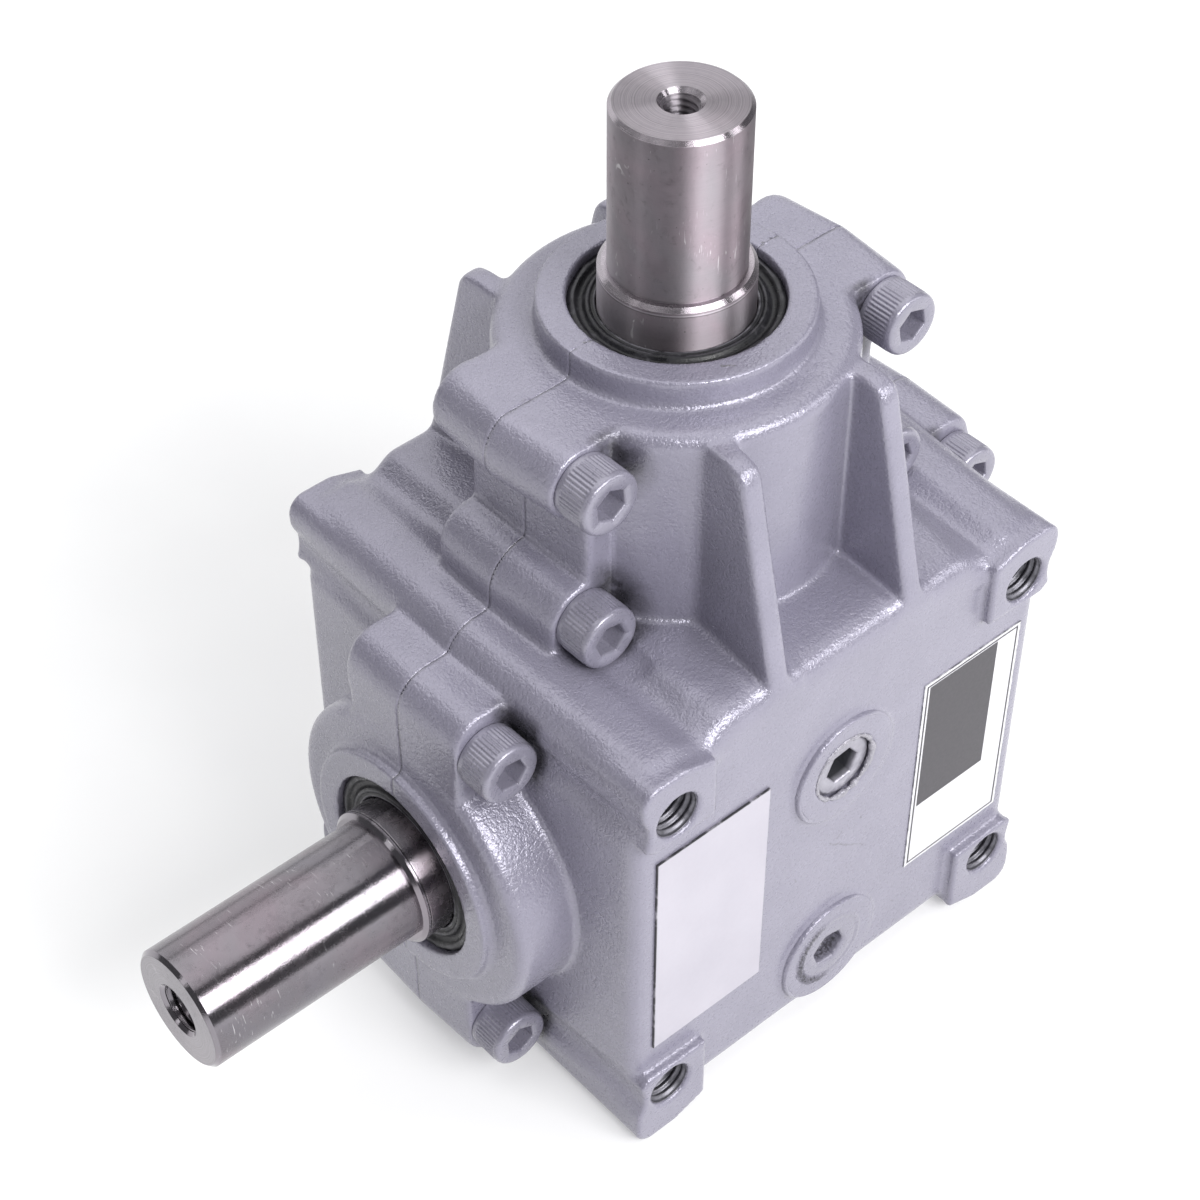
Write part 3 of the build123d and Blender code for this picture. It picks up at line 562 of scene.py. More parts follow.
def ramp(nt, fac, stops):
    n = add(nt, "ShaderNodeValToRGB")
    cr = n.color_ramp
    while len(cr.elements) < len(stops):
        cr.elements.new(0.5)
    for e, (p, c) in zip(cr.elements, stops):
        e.position = p
        e.color = c if len(c) == 4 else (*c, 1)
    nt.links.new(fac, n.inputs[0])
    return n.outputs["Color"]


def mix(nt, fac, a, b, mode="MIX"):
    n = add(nt, "ShaderNodeMix", data_type="RGBA", blend_type=mode)
    for sock, x in ((n.inputs[0], fac), (n.inputs[6], a), (n.inputs[7], b)):
        if isinstance(x, (int, float)):
            sock.default_value = x
        elif isinstance(x, tuple):
            sock.default_value = x if len(x) == 4 else (*x, 1)
        else:
            nt.links.new(x, sock)
    return n.outputs[2]


def maprange(nt, v, a, b, c, d):
    n = add(nt, "ShaderNodeMapRange", inp={1: a, 2: b, 3: c, 4: d})
    nt.links.new(v, n.inputs[0])
    return n.outputs[0]


def stroke(nt, co, sep, p0, p1, half, up):
    """1 along a short ragged stroke from p0 to p1 (mm); its plane is X and the axis number up"""
    (x0, z0), (x1, z1) = p0, p1
    length = math.hypot(x1 - x0, z1 - z0)
    ux, uz = (x1 - x0) / length, (z1 - z0) / length
    dx = math_n(nt, "SUBTRACT", sep.outputs[0], x0 * MM)
    dz = math_n(nt, "SUBTRACT", sep.outputs[up], z0 * MM)
    along = math_n(nt, "ADD", math_n(nt, "MULTIPLY", dx, ux), math_n(nt, "MULTIPLY", dz, uz))
    off = math_n(nt, "SUBTRACT", math_n(nt, "MULTIPLY", dx, uz), math_n(nt, "MULTIPLY", dz, ux))
    wav = math_n(nt, "MULTIPLY", math_n(nt, "SUBTRACT", noise(nt, co, 420, 2.0, 0.5), 0.5), 0.0016)
    off = math_n(nt, "ABSOLUTE", math_n(nt, "ADD", off, wav))
    side = maprange(nt, off, half * 0.4 * MM, half * 1.1 * MM, 1.0, 0.0)
    a = maprange(nt, along, -0.25 * MM, 0.1 * MM, 0.0, 1.0)
    b = maprange(nt, along, (length - 0.1) * MM, (length + 0.25) * MM, 1.0, 0.0)
    rag = maprange(nt, noise(nt, co, 1500, 3.0, 0.7), 0.40, 0.55, 0.15, 1.0)
    return math_n(nt, "MULTIPLY", math_n(nt, "MULTIPLY", side, rag), math_n(nt, "MULTIPLY", a, b))


def bump(nt, bs, height, strength, distance):
    n = add(nt, "ShaderNodeBump", inp={"Strength": strength, "Distance": distance})
    nt.links.new(height, n.inputs["Height"])
    nt.links.new(n.outputs[0], bs.inputs["Normal"])
    return n


def paint(name, base=(0.240, 0.229, 0.294), grain=1.0, seam=False, grit_and_shade_z=None):
    m, nt, bs = material(name)
    co = coords(nt)
    bs.inputs["Metallic"].default_value = 0.24
    bs.inputs["Specular IOR Level"].default_value = 0.5
    sep = add(nt, "ShaderNodeSeparateXYZ")
    nt.links.new(co, sep.inputs[0])
    geo = add(nt, "ShaderNodeNewGeometry")
    sn = add(nt, "ShaderNodeSeparateXYZ")
    nt.links.new(geo.outputs["Normal"], sn.inputs[0])
    # the big front and back faces are smoother than the rest of the casting
    flat = maprange(nt, math_n(nt, "ABSOLUTE", sn.outputs[1]), 0.90, 0.99, 1.0, 0.22)
    # and so is the upright front of the turret
    upright = math_n(nt, "MAXIMUM", maprange(nt, sn.outputs[1], -0.6, -0.3, 0.4, 1.0),
                     maprange(nt, math_n(nt, "ABSOLUTE", sn.outputs[2]), 0.15, 0.40, 0.4, 1.0))
    flat = math_n(nt, "MINIMUM", flat, upright)
    g1 = noise(nt, co, 2300, 1.0, 0.5, 0.3)
    g2 = noise(nt, co, 1250, 2.0, 0.5, 0.6)
    g3 = noise(nt, co, 110, 3.0, 0.5)
    dark = tuple(x * 0.965 for x in base)
    lite = tuple(x * 1.035 for x in base)
    c = ramp(nt, g1, [(0.32, dark), (0.68, lite)])
    c2 = ramp(nt, g3, [(0.3, (0.95, 0.95, 0.955)), (0.7, (1.04, 1.04, 1.035))])
    c = mix(nt, 1.0, c, c2, "MULTIPLY")
    # specks and small smears of dirt
    sp = noise(nt, co, 420, 2.0, 0.6)
    c = mix(nt, maprange(nt, sp, 0.86, 0.89, 0.0, 0.8), c, (0.06, 0.06, 0.065))
    if seam:
        # dark hairline where the halves meet, painted over here and there
        d = math_n(nt, "ABSOLUTE", math_n(nt, "SUBTRACT", sep.outputs[1], 0.052))
        big = noise(nt, co, 70, 3.0, 0.6)
        near = maprange(nt, d, 0.00005, 0.00016, 1.0, 0.0)
        on = maprange(nt, big, 0.47, 0.60, 0.06, 0.85)
        c = mix(nt, math_n(nt, "MULTIPLY", near, on), c, (0.045, 0.043, 0.05))
        wide = maprange(nt, d, 0.0002, 0.0013, 1.0, 0.0)
        spot = maprange(nt, noise(nt, co, 160, 3.0, 0.7), 0.64, 0.74, 0.0, 0.6)
        c = mix(nt, math_n(nt, "MULTIPLY", wide, spot), c, (0.08, 0.078, 0.085))
        # painted shade in the narrow gaps beside the screw heads, where the heads shadow the wall
        ax = math_n(nt, "ABSOLUTE", sep.outputs[0])
        az = math_n(nt, "ABSOLUTE", sep.outputs[2])
        shade_depth = math_n(nt, "MULTIPLY", maprange(nt, sep.outputs[1], 0.0262, 0.0285, 0.0, 1.0),
                      maprange(nt, sep.outputs[1], 0.0366, 0.0380, 1.0, 0.0))
        for sx, sz in ((37.15, 91.5), (37.15, 58.7), (61.2, 39.85)):
            ex = math_n(nt, "POWER", math_n(nt, "SUBTRACT", ax, sx * MM), 2.0)
            ez = math_n(nt, "POWER", math_n(nt, "SUBTRACT", az, sz * MM), 2.0)
            rr = math_n(nt, "SQRT", math_n(nt, "ADD", ex, ez))
            k = math_n(nt, "MULTIPLY", maprange(nt, rr, 0.0088, 0.0125, 0.92, 0.0), shade_depth)
            # only on the side towards the turret
            k = math_n(nt, "MULTIPLY", k, maprange(nt, math_n(nt, "SUBTRACT", ax, sx * MM), -0.0045, -0.0015, 1.0, 0.0))
            k = math_n(nt, "MULTIPLY", k, maprange(nt, noise(nt, co, 240, 3.0, 0.6), 0.30, 0.55, 0.45, 1.0))
            c = mix(nt, k, c, (0.018, 0.017, 0.020))
        # handling marks on the front face, (x, z) to (x, z) in mm, and one on the top collar
        front_only = maprange(nt, sep.outputs[1], 0.0045, 0.0050, 1.0, 0.0)
        for p0, p1, half, k in (((-1.9, -2.9), (3.4, -7.4), 0.24, 0.8), ((3.0, -6.9), (9.2, -11.6), 0.16, 0.6),
                                ((0.3, -3.0), (1.6, -1.6), 0.28, 0.75), ((6.6, -1.2), (7.1, -1.8), 0.24, 0.8),
                                ((-11.3, -6.5), (-10.6, -7.6), 0.16, 0.6), ((19.2, -37.2), (19.9, -38.0), 0.2, 0.7),
                                ((17.4, 20.5), (18.2, 20.2), 0.15, 0.6), ((-30.5, 40.5), (-29.6, 40.0), 0.16, 0.55)):
            st = stroke(nt, co, sep, p0, p1, half, 2)
            c = mix(nt, math_n(nt, "MULTIPLY", math_n(nt, "MULTIPLY", st, front_only), k), c, (0.075, 0.073, 0.085))
        top_only = maprange(nt, sep.outputs[2], 0.1040, 0.1044, 0.0, 1.0)
        st = stroke(nt, co, sep, (-8.3, 31.6), (-6.6, 29.9), 0.34, 1)
        c = mix(nt, math_n(nt, "MULTIPLY", math_n(nt, "MULTIPLY", st, top_only), 0.75), c, (0.085, 0.09, 0.062))
    if grit_and_shade_z is not None:
        # dark grit on the left of the rim, and painted shade deeper down in the hex hole
        dx = sep.outputs[0]
        dz = math_n(nt, "SUBTRACT", sep.outputs[2], grit_and_shade_z * MM)
        rad = math_n(nt, "SQRT", math_n(nt, "ADD", math_n(nt, "POWER", dx, 2.0), math_n(nt, "POWER", dz, 2.0)))
        ringm = maprange(nt, math_n(nt, "ABSOLUTE", math_n(nt, "SUBTRACT", rad, 0.00835)), 0.0004, 0.0010, 1.0, 0.0)
        leftm = maprange(nt, math_n(nt, "SUBTRACT", math_n(nt, "MULTIPLY", dx, -1.0), math_n(nt, "MULTIPLY", dz, 0.15)), 0.0, 0.0045, 0.0, 1.0)
        grit = maprange(nt, noise(nt, co, 1500, 3.0, 0.7), 0.42, 0.58, 0.25, 1.0)
        k = math_n(nt, "MULTIPLY", math_n(nt, "MULTIPLY", ringm, leftm), grit)
        c = mix(nt, math_n(nt, "MULTIPLY", k, 0.85), c, (0.035, 0.034, 0.038))
        # painted shade: darker the deeper into the hex hole, broken up by the grit noise
        shade_depth = math_n(nt, "MULTIPLY", maprange(nt, sep.outputs[1], 0.0021, 0.0034, 0.0, 0.9), grit)
        c = mix(nt, shade_depth, c, (0.03, 0.029, 0.032))
    nt.links.new(c, bs.inputs["Base Color"])
    nt.links.new(maprange(nt, g2, 0.3, 0.7, 0.25, 0.34), bs.inputs["Roughness"])
    h = math_n(nt, "ADD", math_n(nt, "MULTIPLY", g1, 0.55), math_n(nt, "MULTIPLY", g2, 1.0))
    h = math_n(nt, "MULTIPLY", h, flat)
    h = math_n(nt, "ADD", h, math_n(nt, "MULTIPLY", g3, 0.45))
    bump(nt, bs, h, 1.0, 0.00013 * grain)
    # the clear top of the paint glints on its orange peel
    bs.inputs["Coat Weight"].default_value = 0.50
    bs.inputs["Coat Roughness"].default_value = 0.20
    bs.inputs["Coat IOR"].default_value = 1.6
    cb = add(nt, "ShaderNodeBump", inp={"Strength": 1.0, "Distance": 0.00026 * grain})
    nt.links.new(h, cb.inputs["Height"])
    nt.links.new(cb.outputs[0], bs.inputs["Coat Normal"])
    return m


def plug_material():
    """bright zinc plug, with painted shade down in its hex"""
    m, nt, bs = material("zinc_plug")
    co = coords(nt)
    bs.inputs["Metallic"].default_value = 0.6
    sep = add(nt, "ShaderNodeSeparateXYZ")
    nt.links.new(co, sep.inputs[0])
    n1 = noise(nt, co, 700, 4.0, 0.6)
    n2 = noise(nt, co, 1700, 3.0, 0.6)
    c = ramp(nt, n1, [(0.32, (0.31, 0.30, 0.345)), (0.68, (0.42, 0.41, 0.46))])
    c = mix(nt, maprange(nt, n2, 0.66, 0.76, 0.0, 0.7), c, (0.10, 0.10, 0.11))
    # painted shade deeper down in the hex socket
    c = mix(nt, maprange(nt, sep.outputs[1], 0.0029, 0.0042, 0.0, 0.93), c, (0.022, 0.024, 0.028))
    nt.links.new(c, bs.inputs["Base Color"])
    nt.links.new(maprange(nt, n1, 0.3, 0.7, 0.28, 0.42), bs.inputs["Roughness"])
    bump(nt, bs, math_n(nt, "ADD", n1, math_n(nt, "MULTIPLY", n2, 0.5)), 1.0, 0.00009)
    return m


def steel(name, base, rough, axis, aniso, lines, edges, grooves, face):
    """turned and ground steel; edges are chamfers (from, to) and grooves fine lines, in mm along the axis,
    face is where the flat end starts"""
    m, nt, bs = material(name)
    co = coords(nt)
    bs.inputs["Metallic"].default_value = 1.0
    bs.inputs["Anisotropic"].default_value = aniso
    bs.inputs["Anisotropic Rotation"].default_value = 0.25
    tg = add(nt, "ShaderNodeTangent", direction_type="RADIAL", axis=axis)
    nt.links.new(tg.outputs[0], bs.inputs["Tangent"])
    sep = add(nt, "ShaderNodeSeparateXYZ")
    nt.links.new(co, sep.inputs[0])
    if axis == "Z":
        along, scale = sep.outputs[2], (60, 60, 5200)
    else:
        along, scale = math_n(nt, "MULTIPLY", sep.outputs[0], -1.0), (5200, 60, 60)
    sc = add(nt, "ShaderNodeMapping")
    sc.inputs["Scale"].default_value = scale
    nt.links.new(co, sc.inputs["Vector"])
    l1 = noise(nt, sc.outputs[0], 1.0, 4.0, 0.7)
    big = noise(nt, co, 75, 4.0, 0.65)
    fine = noise(nt, co, 1900, 3.0, 0.65)
    mid = noise(nt, co, 620, 4.0, 0.65, 0.4)
    v = 0.10 * lines
    c = ramp(nt, l1, [(0.3, tuple(x * (1 - v) for x in base)), (0.7, tuple(min(1, x * (1 + v)) for x in base))])
    # faint straw and violet tint of handled steel
    tint = ramp(nt, noise(nt, co, 38, 3.0, 0.6, 0.5), [(0.35, (0.99, 1.0, 1.03)), (0.5, (1.0, 1.0, 1.0)), (0.66, (1.10, 1.0, 1.03))])
    c = mix(nt, 1.0, c, tint, "MULTIPLY")
    c = mix(nt, maprange(nt, big, 0.45, 0.75, 0.0, 0.35), c, tuple(x * 0.72 for x in base))
    # pits and small bright scuffs
    c = mix(nt, maprange(nt, noise(nt, co, 900, 2.0, 0.6), 0.72, 0.77, 0.0, 0.7), c, (0.075, 0.07, 0.075))
    c = mix(nt, maprange(nt, mid, 0.60, 0.74, 0.0, 0.35), c, tuple(x * 0.62 for x in base))
    for turn, seed in (((0.5, 0.7, 0.4), 90), ((1.9, 0.2, 1.1), 130)):
        sc2 = add(nt, "ShaderNodeMapping")
        sc2.inputs["Rotation"].default_value = turn
        sc2.inputs["Scale"].default_value = (3000, 300, 300)
        nt.links.new(co, sc2.inputs["Vector"])
        scr = noise(nt, sc2.outputs[0], 1.0, 2.0, 0.5, 0.6)
        area_m = maprange(nt, noise(nt, co, seed, 2.0, 0.5), 0.54, 0.66, 0.0, 1.0)
        c = mix(nt, math_n(nt, "MULTIPLY", area_m, maprange(nt, scr, 0.66, 0.72, 0.0, 0.7)), c, (0.70, 0.68, 0.70))
    r1 = maprange(nt, l1, 0.3, 0.7, rough * (1 - 0.15 * lines), rough * (1 + 0.2 * lines))
    r1 = math_n(nt, "ADD", r1, maprange(nt, big, 0.4, 0.75, 0.0, 0.08))
    r1 = math_n(nt, "ADD", r1, maprange(nt, mid, 0.5, 0.75, 0.0, 0.10))
    h = math_n(nt, "ADD", math_n(nt, "MULTIPLY", l1, lines), math_n(nt, "MULTIPLY", fine, 0.9))
    h = math_n(nt, "ADD", h, math_n(nt, "MULTIPLY", mid, 0.9))
    for lo, hi in edges:
        e = math_n(nt, "MULTIPLY", maprange(nt, along, (lo - 0.05) * MM, (lo + 0.05) * MM, 0.0, 1.0),
                   maprange(nt, along, (hi - 0.05) * MM, (hi + 0.05) * MM, 1.0, 0.0))
        r1 = math_n(nt, "MULTIPLY", r1, math_n(nt, "SUBTRACT", 1.0, math_n(nt, "MULTIPLY", e, 0.52)))
        c = mix(nt, math_n(nt, "MULTIPLY", e, 0.5), c, tuple(min(1, x * 1.6) for x in base))
    for g in grooves:
        d = math_n(nt, "ABSOLUTE", math_n(nt, "SUBTRACT", along, g * MM))
        k = maprange(nt, d, 0.00005, 0.00022, 1.0, 0.0)
        h = math_n(nt, "SUBTRACT", h, math_n(nt, "MULTIPLY", k, 4.0))
        # painted highlight along one edge of the groove, and painted shade down in the groove
        lite = maprange(nt, math_n(nt, "ABSOLUTE", math_n(nt, "SUBTRACT", along, (g + 0.25) * MM)), 0.00008, 0.0002, 0.6, 0.0)
        c = mix(nt, lite, c, tuple(min(1, x * 2.3) for x in base))
        c = mix(nt, math_n(nt, "MULTIPLY", k, 0.6), c, tuple(x * 0.4 for x in base))
    # the end is faced: fine rings, and a mirror that is less drawn out
    end = maprange(nt, along, (face - 0.04) * MM, (face - 0.01) * MM, 0.0, 1.0)
    across = sep.outputs[0] if axis == "Z" else sep.outputs[2]
    yy = math_n(nt, "POWER", math_n(nt, "SUBTRACT", sep.outputs[1], 0.052), 2.0)
    rad = math_n(nt, "SQRT", math_n(nt, "ADD", math_n(nt, "POWER", across, 2.0), yy))
    rn = add(nt, "ShaderNodeTexNoise", noise_dimensions="1D", inp={"Scale": 4200.0, "Detail": 3.0, "Roughness": 0.7})
    nt.links.new(rad, rn.inputs["W"])
    rings = rn.outputs["Fac"]
    r1 = math_n(nt, "MULTIPLY", r1, math_n(nt, "SUBTRACT", 1.0, math_n(nt, "MULTIPLY", end, 0.30)))
    ring_c = mix(nt, maprange(nt, rings, 0.35, 0.65, 0.0, 1.0), tuple(x * 0.86 for x in base), tuple(min(1, x * 1.40) for x in base))
    c = mix(nt, math_n(nt, "MULTIPLY", end, 0.75), c, ring_c)
    h = math_n(nt, "ADD", h, math_n(nt, "MULTIPLY", math_n(nt, "MULTIPLY", rings, end), 1.3))
    nt.links.new(c, bs.inputs["Base Color"])
    nt.links.new(r1, bs.inputs["Roughness"])
    bump(nt, bs, h, 0.5, 0.000028)
    return m


def seal_material(name, dust, across=0):
    m, nt, bs = material(name)
    co = coords(nt)
    n1 = noise(nt, co, 420, 4.0, 0.65, 0.8)
    n2 = noise(nt, co, 1700, 3.0, 0.6)
    c = ramp(nt, n1, [(0.38, (0.006, 0.006, 0.0075)), (0.60, (0.016, 0.0155, 0.019)), (0.76, dust)])
    # paler, dusty rings at the lip and at the shoulder, seen by distance from the shaft's axis
    sep = add(nt, "ShaderNodeSeparateXYZ")
    nt.links.new(co, sep.inputs[0])
    yy = math_n(nt, "POWER", math_n(nt, "SUBTRACT", sep.outputs[1], 0.052), 2.0)
    rad = math_n(nt, "SQRT", math_n(nt, "ADD", math_n(nt, "POWER", sep.outputs[across], 2.0), yy))
    for r0, half, amount in ((0.0149, 0.00030, 0.9), (0.0161, 0.00030, 0.35), (0.0189, 0.0004, 0.30)):
        ring = maprange(nt, math_n(nt, "ABSOLUTE", math_n(nt, "SUBTRACT", rad, r0)), half * 0.5, half, amount, 0.0)
        ring = math_n(nt, "MULTIPLY", ring, maprange(nt, noise(nt, co, 190, 3.0, 0.6), 0.42, 0.56, 0.1, 1.0))
        c = mix(nt, ring, c, tuple(x * 2.2 for x in dust))
    nt.links.new(c, bs.inputs["Base Color"])
    bs.inputs["Specular IOR Level"].default_value = 0.32
    nt.links.new(maprange(nt, n1, 0.35, 0.65, 0.24, 0.52), bs.inputs["Roughness"])
    bump(nt, bs, math_n(nt, "ADD", n1, math_n(nt, "MULTIPLY", n2, 0.4)), 1.0, 0.00012)
    return m


def inside(nt, sep, x0, x1, z0, z1, soft=0.00004):
    """1 inside a rectangle of the front face, 0 outside; metres"""
    a = maprange(nt, sep.outputs[0], x0 - soft, x0 + soft, 0.0, 1.0)
    b = maprange(nt, sep.outputs[0], x1 - soft, x1 + soft, 1.0, 0.0)
    c = maprange(nt, sep.outputs[2], z0 - soft, z0 + soft, 0.0, 1.0)
    d = maprange(nt, sep.outputs[2], z1 - soft, z1 + soft, 1.0, 0.0)
    return math_n(nt, "MULTIPLY", math_n(nt, "MULTIPLY", a, b), math_n(nt, "MULTIPLY", c, d))


def label_material():
    """white film with a thin dark frame and a plain dark panel; nothing is written on it"""
    m, nt, bs = material("label_film")
    co = coords(nt)
    sep = add(nt, "ShaderNodeSeparateXYZ")
    nt.links.new(co, sep.inputs[0])
    x0, x1, z0, z1 = 0.0218, 0.0492, -0.0287, 0.0257
    white = ramp(nt, noise(nt, co, 260, 3, 0.5), [(0.3, (0.62, 0.615, 0.645)), (0.7, (0.67, 0.665, 0.695))])
    ink = ramp(nt, noise(nt, co, 1400, 3, 0.6), [(0.3, (0.026, 0.023, 0.029)), (0.7, (0.040, 0.036, 0.044))])
    outer = inside(nt, sep, x0 + 0.00070, x1 - 0.00070, z0 + 0.00070, z1 - 0.00070)
    inner = inside(nt, sep, x0 + 0.00118, x1 - 0.00118, z0 + 0.00118, z1 - 0.00118)
    line = math_n(nt, "SUBTRACT", outer, inner, clamp=True)
    panel = inside(nt, sep, 0.0234, 0.0427, -0.0107, 0.0243)
    c = mix(nt, math_n(nt, "MAXIMUM", line, panel), white, ink)
    # painted shadow along the cut edge of the film, broken up by noise
    film = inside(nt, sep, x0 + 0.00013, x1 - 0.00013, z0 + 0.00013, z1 - 0.00013)
    rim = math_n(nt, "SUBTRACT", 1.0, film, clamp=True)
    c = mix(nt, math_n(nt, "MULTIPLY", rim, maprange(nt, noise(nt, co, 500, 3.0, 0.6), 0.38, 0.58, 0.2, 0.85)), c, (0.03, 0.03, 0.033))
    nt.links.new(c, bs.inputs["Base Color"])
    bs.inputs["Roughness"].default_value = 0.28
    bump(nt, bs, noise(nt, co, 300, 2.0, 0.5), 0.3, 0.00003)
    return m


plate_lo, plate_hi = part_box("data_plate")
PLATE = (plate_lo[0], plate_hi[0], plate_lo[2], plate_hi[2])


def plate_material():
    """thin bare plate, bright and satin, with faint rubbing"""
    m, nt, bs = material("plate_metal")
    co = coords(nt)
    bs.inputs["Metallic"].default_value = 0.35
    n1 = noise(nt, co, 900, 3, 0.6)
    n2 = noise(nt, co, 55, 3, 0.5)
    c = ramp(nt, n2, [(0.3, (0.47, 0.452, 0.508)), (0.7, (0.515, 0.495, 0.55))])
    c = mix(nt, maprange(nt, n1, 0.70, 0.78, 0.0, 0.35), c, (0.45, 0.44, 0.48))
    sep = add(nt, "ShaderNodeSeparateXYZ")
    nt.links.new(co, sep.inputs[0])
    x0, x1, z0, z1 = PLATE
    # dark line round the plate, widest at the left and top: partly dirt in the edge, partly painted shadow of the gap
    # under the plate
    body = inside(nt, sep, x0 + 0.00022, x1 - 0.00004, z0 + 0.00004, z1 - 0.00022, 0.00006)
    rim = math_n(nt, "SUBTRACT", 1.0, body, clamp=True)
    c = mix(nt, math_n(nt, "MULTIPLY", rim, maprange(nt, noise(nt, co, 330, 3.0, 0.6), 0.36, 0.52, 0.25, 0.95)), c, (0.02, 0.02, 0.022))
    nt.links.new(c, bs.inputs["Base Color"])
    nt.links.new(maprange(nt, n1, 0.3, 0.7, 0.34, 0.44), bs.inputs["Roughness"])
    bump(nt, bs, n2, 0.5, 0.00006)
    return m


def simple(name, base, metallic=0.0, rough=0.5, var=0.15, scale=300, bumps=0.2, spec=None):
    m, nt, bs = material(name)
    co = coords(nt)
    bs.inputs["Metallic"].default_value = metallic
    n = noise(nt, co, scale, 4.0, 0.6)
    c = ramp(nt, n, [(0.3, tuple(max(0, x * (1 - var)) for x in base)), (0.7, tuple(min(1, x * (1 + var)) for x in base))])
    nt.links.new(c, bs.inputs["Base Color"])
    nt.links.new(maprange(nt, n, 0.3, 0.7, max(0.02, rough - 0.08), min(1, rough + 0.08)), bs.inputs["Roughness"])
    bump(nt, bs, n, bumps, 0.00005)
    return m


mats = {
    "painted_casting": paint("painted_casting", seam=True),
    "painted_screw": paint("painted_screw", (0.236, 0.226, 0.283), 0.45),
    "zinc_plug": plug_material(),
    "plate_metal": plate_material(),
    "label_film": label_material(),
    "seal_rubber": seal_material("seal_rubber", (0.060, 0.058, 0.066)),
    "seal_case": simple("seal_case", (0.02, 0.02, 0.022), 0.0, 0.35, 0.4, 900, 0.5),
    "gear_steel": simple("gear_steel", (0.45, 0.45, 0.46), 1.0, 0.35),
    "plain_steel": simple("plain_steel", (0.55, 0.55, 0.56), 1.0, 0.3),
    "bearing_steel": simple("bearing_steel", (0.65, 0.65, 0.67), 1.0, 0.18),
    "cage_steel": simple("cage_steel", (0.5, 0.5, 0.5), 1.0, 0.4),
}
steel_v = steel("ground_steel_vertical", (0.305, 0.280, 0.304), 0.47, "Z", 0.97, 0.5,
                [(144.7, 145.45), (110.95, 111.8)], [110.1], 145.5)
steel_h = steel("ground_steel_horizontal", (0.212, 0.198, 0.216), 0.22, "X", 0.90, 0.12,
                [(122.5, 123.25), (74.9, 75.75)], [74.2], 123.3)

slot_of = {s["node"]: s["material_slot"] for s in frame["record"]["subparts"]}


def assign(ob, m):
    ob.data.materials.clear()
    ob.data.materials.append(m)


for name, ob in nodes.items():
    s = slot_of.get(name)
    if s == "ground_steel":
        m = steel_v if name.startswith("vertical") else steel_h
    else:
        m = mats[s]
    if len(ob.material_slots):
        for ms in ob.material_slots:
            ms.material = m
    else:
        ob.data.materials.append(m)
assign(front_casting, mats["painted_casting"])
assign(rear_casting, mats["painted_casting"])
assign(mounting_threads, simple("cut_thread", (0.150, 0.147, 0.168), 0.6, 0.40, 0.35, 900, 0.6))
assign(screws, mats["painted_screw"])
grey_seal = seal_material("seal_rubber_grey", (0.085, 0.082, 0.094), across=2)
sealant = paint("painted_sealant", (0.30, 0.29, 0.33), 2.6)
assign(v_seal, mats["seal_rubber"])
assign(h_seal, grey_seal)
assign(vertical_tap, steel_v)
assign(horizontal_tap, steel_h)
assign(fill, mats["zinc_plug"])
assign(drain, paint("painted_plug", (0.236, 0.226, 0.283), 0.5, grit_and_shade_z=DRAIN_Z))
assign(bead1, sealant)
assign(bead2, mats["painted_casting"])
assign(bead3, mats["painted_casting"])

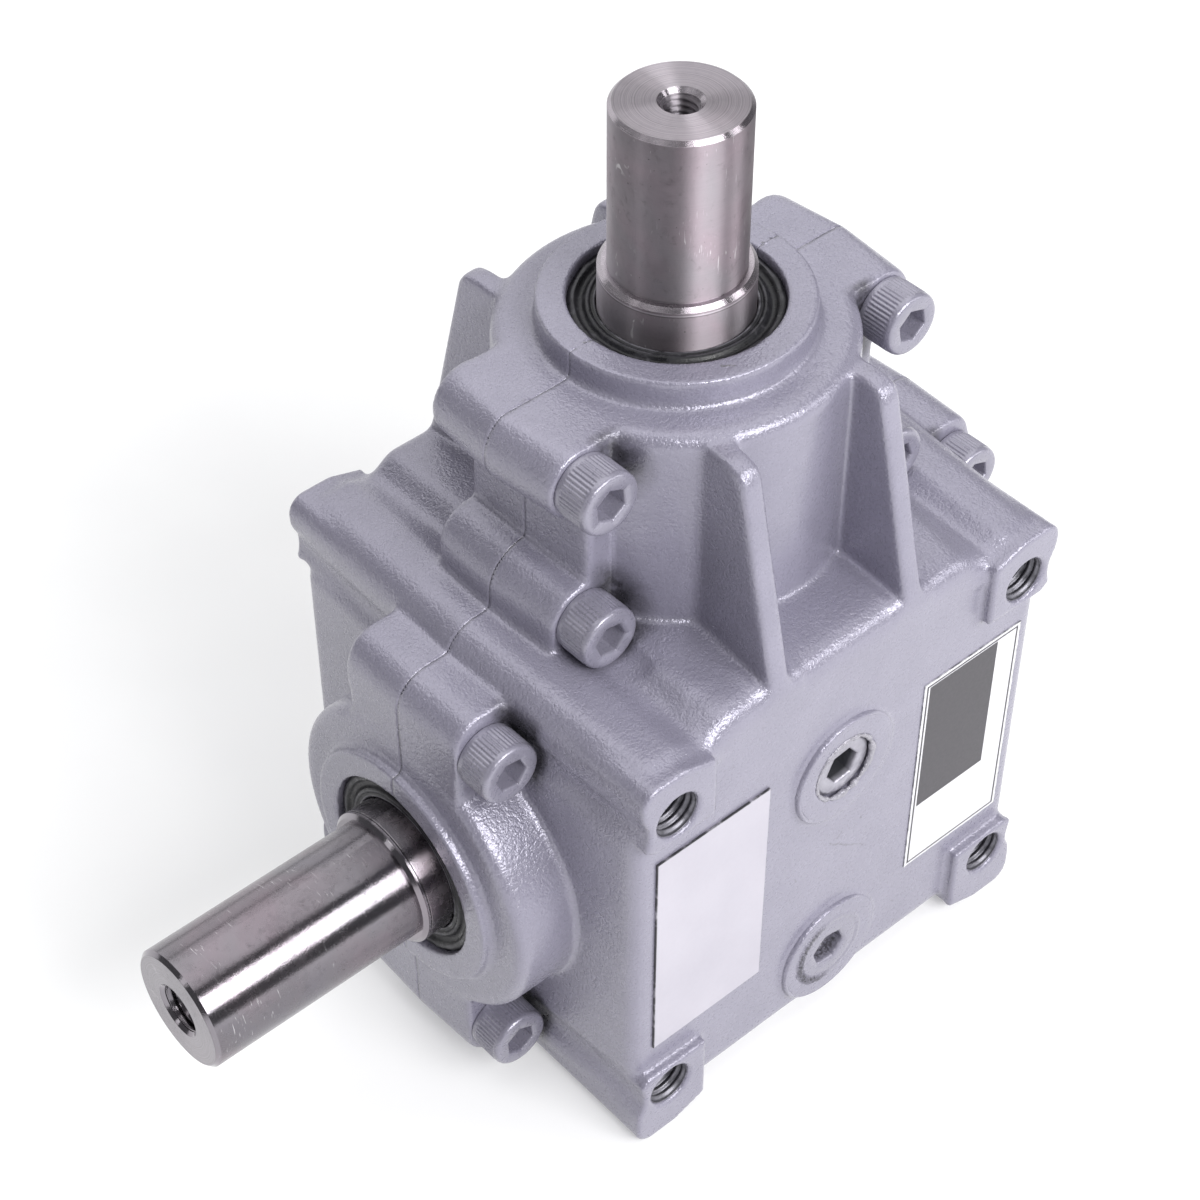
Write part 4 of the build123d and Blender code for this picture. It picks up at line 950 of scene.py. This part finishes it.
# ---------------------------------------------------------------- floor, light, camera
FLOOR_Z = -0.0539
fl = bpy.data.meshes.new("floor")
fl.from_pydata([(-4, -4, FLOOR_Z), (4, -4, FLOOR_Z), (4, 4, FLOOR_Z), (-4, 4, FLOOR_Z)], [], [(0, 1, 2, 3)])
floor = bpy.data.objects.new("floor", fl)
bpy.context.scene.collection.objects.link(floor)
fm, fnt, fbs = material("floor_paper")
fbs.inputs["Roughness"].default_value = 0.9
fbs.inputs["Emission Color"].default_value = (1, 1, 1, 1)
fbs.inputs["Emission Strength"].default_value = 0.34
fco = coords(fnt)
fnt.links.new(ramp(fnt, noise(fnt, fco, 40, 2, 0.5), [(0, (0.58, 0.58, 0.585)), (1, (0.61, 0.61, 0.612))]), fbs.inputs["Base Color"])
fl.materials.append(fm)

world = bpy.data.worlds.new("studio")
bpy.context.scene.world = world
world.use_nodes = True
world.node_tree.nodes["Background"].inputs[0].default_value = (0.95, 0.96, 1.0, 1)
world.node_tree.nodes["Background"].inputs[1].default_value = 0.16
bpy.context.scene.view_settings.view_transform = "Standard"


def area(name, loc, target, size, size_y, energy, colour=(1, 1, 1)):
    d = bpy.data.lights.new(name, "AREA")
    d.shape = "RECTANGLE"
    d.size, d.size_y = size, size_y
    d.energy = energy
    d.color = colour
    o = bpy.data.objects.new(name, d)
    bpy.context.scene.collection.objects.link(o)
    o.location = loc
    o.rotation_euler = (Vector(target) - Vector(loc)).to_track_quat("-Z", "Y").to_euler()
    return o


area("key", (0.08, -1.00, 0.82), (0, 0.0, 0.03), 0.85, 0.66, 17.5)
area("side", (-1.16, 0.30, 0.50), (0, 0.05, 0.06), 0.22, 0.70, 0.6)
area("right", (0.95, -0.80, 0.55), (0, 0.05, 0.04), 0.40, 0.70, 4.0)
area("back", (0.45, 1.55, 0.50), (0, 0.05, 0.05), 2.6, 0.9, 8.0)
area("top", (0.15, 0.45, 1.35), (0, 0.05, 0.05), 1.9, 1.9, 18.0)
area("fill", (-0.34, -0.92, 0.84), (0, 0.03, 0.05), 0.5, 0.42, 4.4)

cam_d = bpy.data.cameras.new("camera")
cam = bpy.data.objects.new("camera", cam_d)
bpy.context.scene.collection.objects.link(cam)
R = np.array([[0.75863354, -0.65136059, -0.0143017],
              [-0.46297201, -0.52351453, -0.71525482],
              [0.45840165, 0.54923759, -0.6987174]])
rot = Matrix([R[0], -R[1], -R[2]]).transposed()
cam.matrix_world = Matrix.Translation((-0.26594835, -0.22824116, 0.40578759)) @ rot.to_4x4()
cam_d.sensor_fit = "HORIZONTAL"
cam_d.sensor_width = 36.0
cam_d.lens = 2703.13 / 1200 * 36
cam_d.shift_x = (600 - 546.02) / 1200
cam_d.shift_y = -(600 - 594.23) / 1200
cam_d.clip_start = 0.01
bpy.context.scene.camera = cam
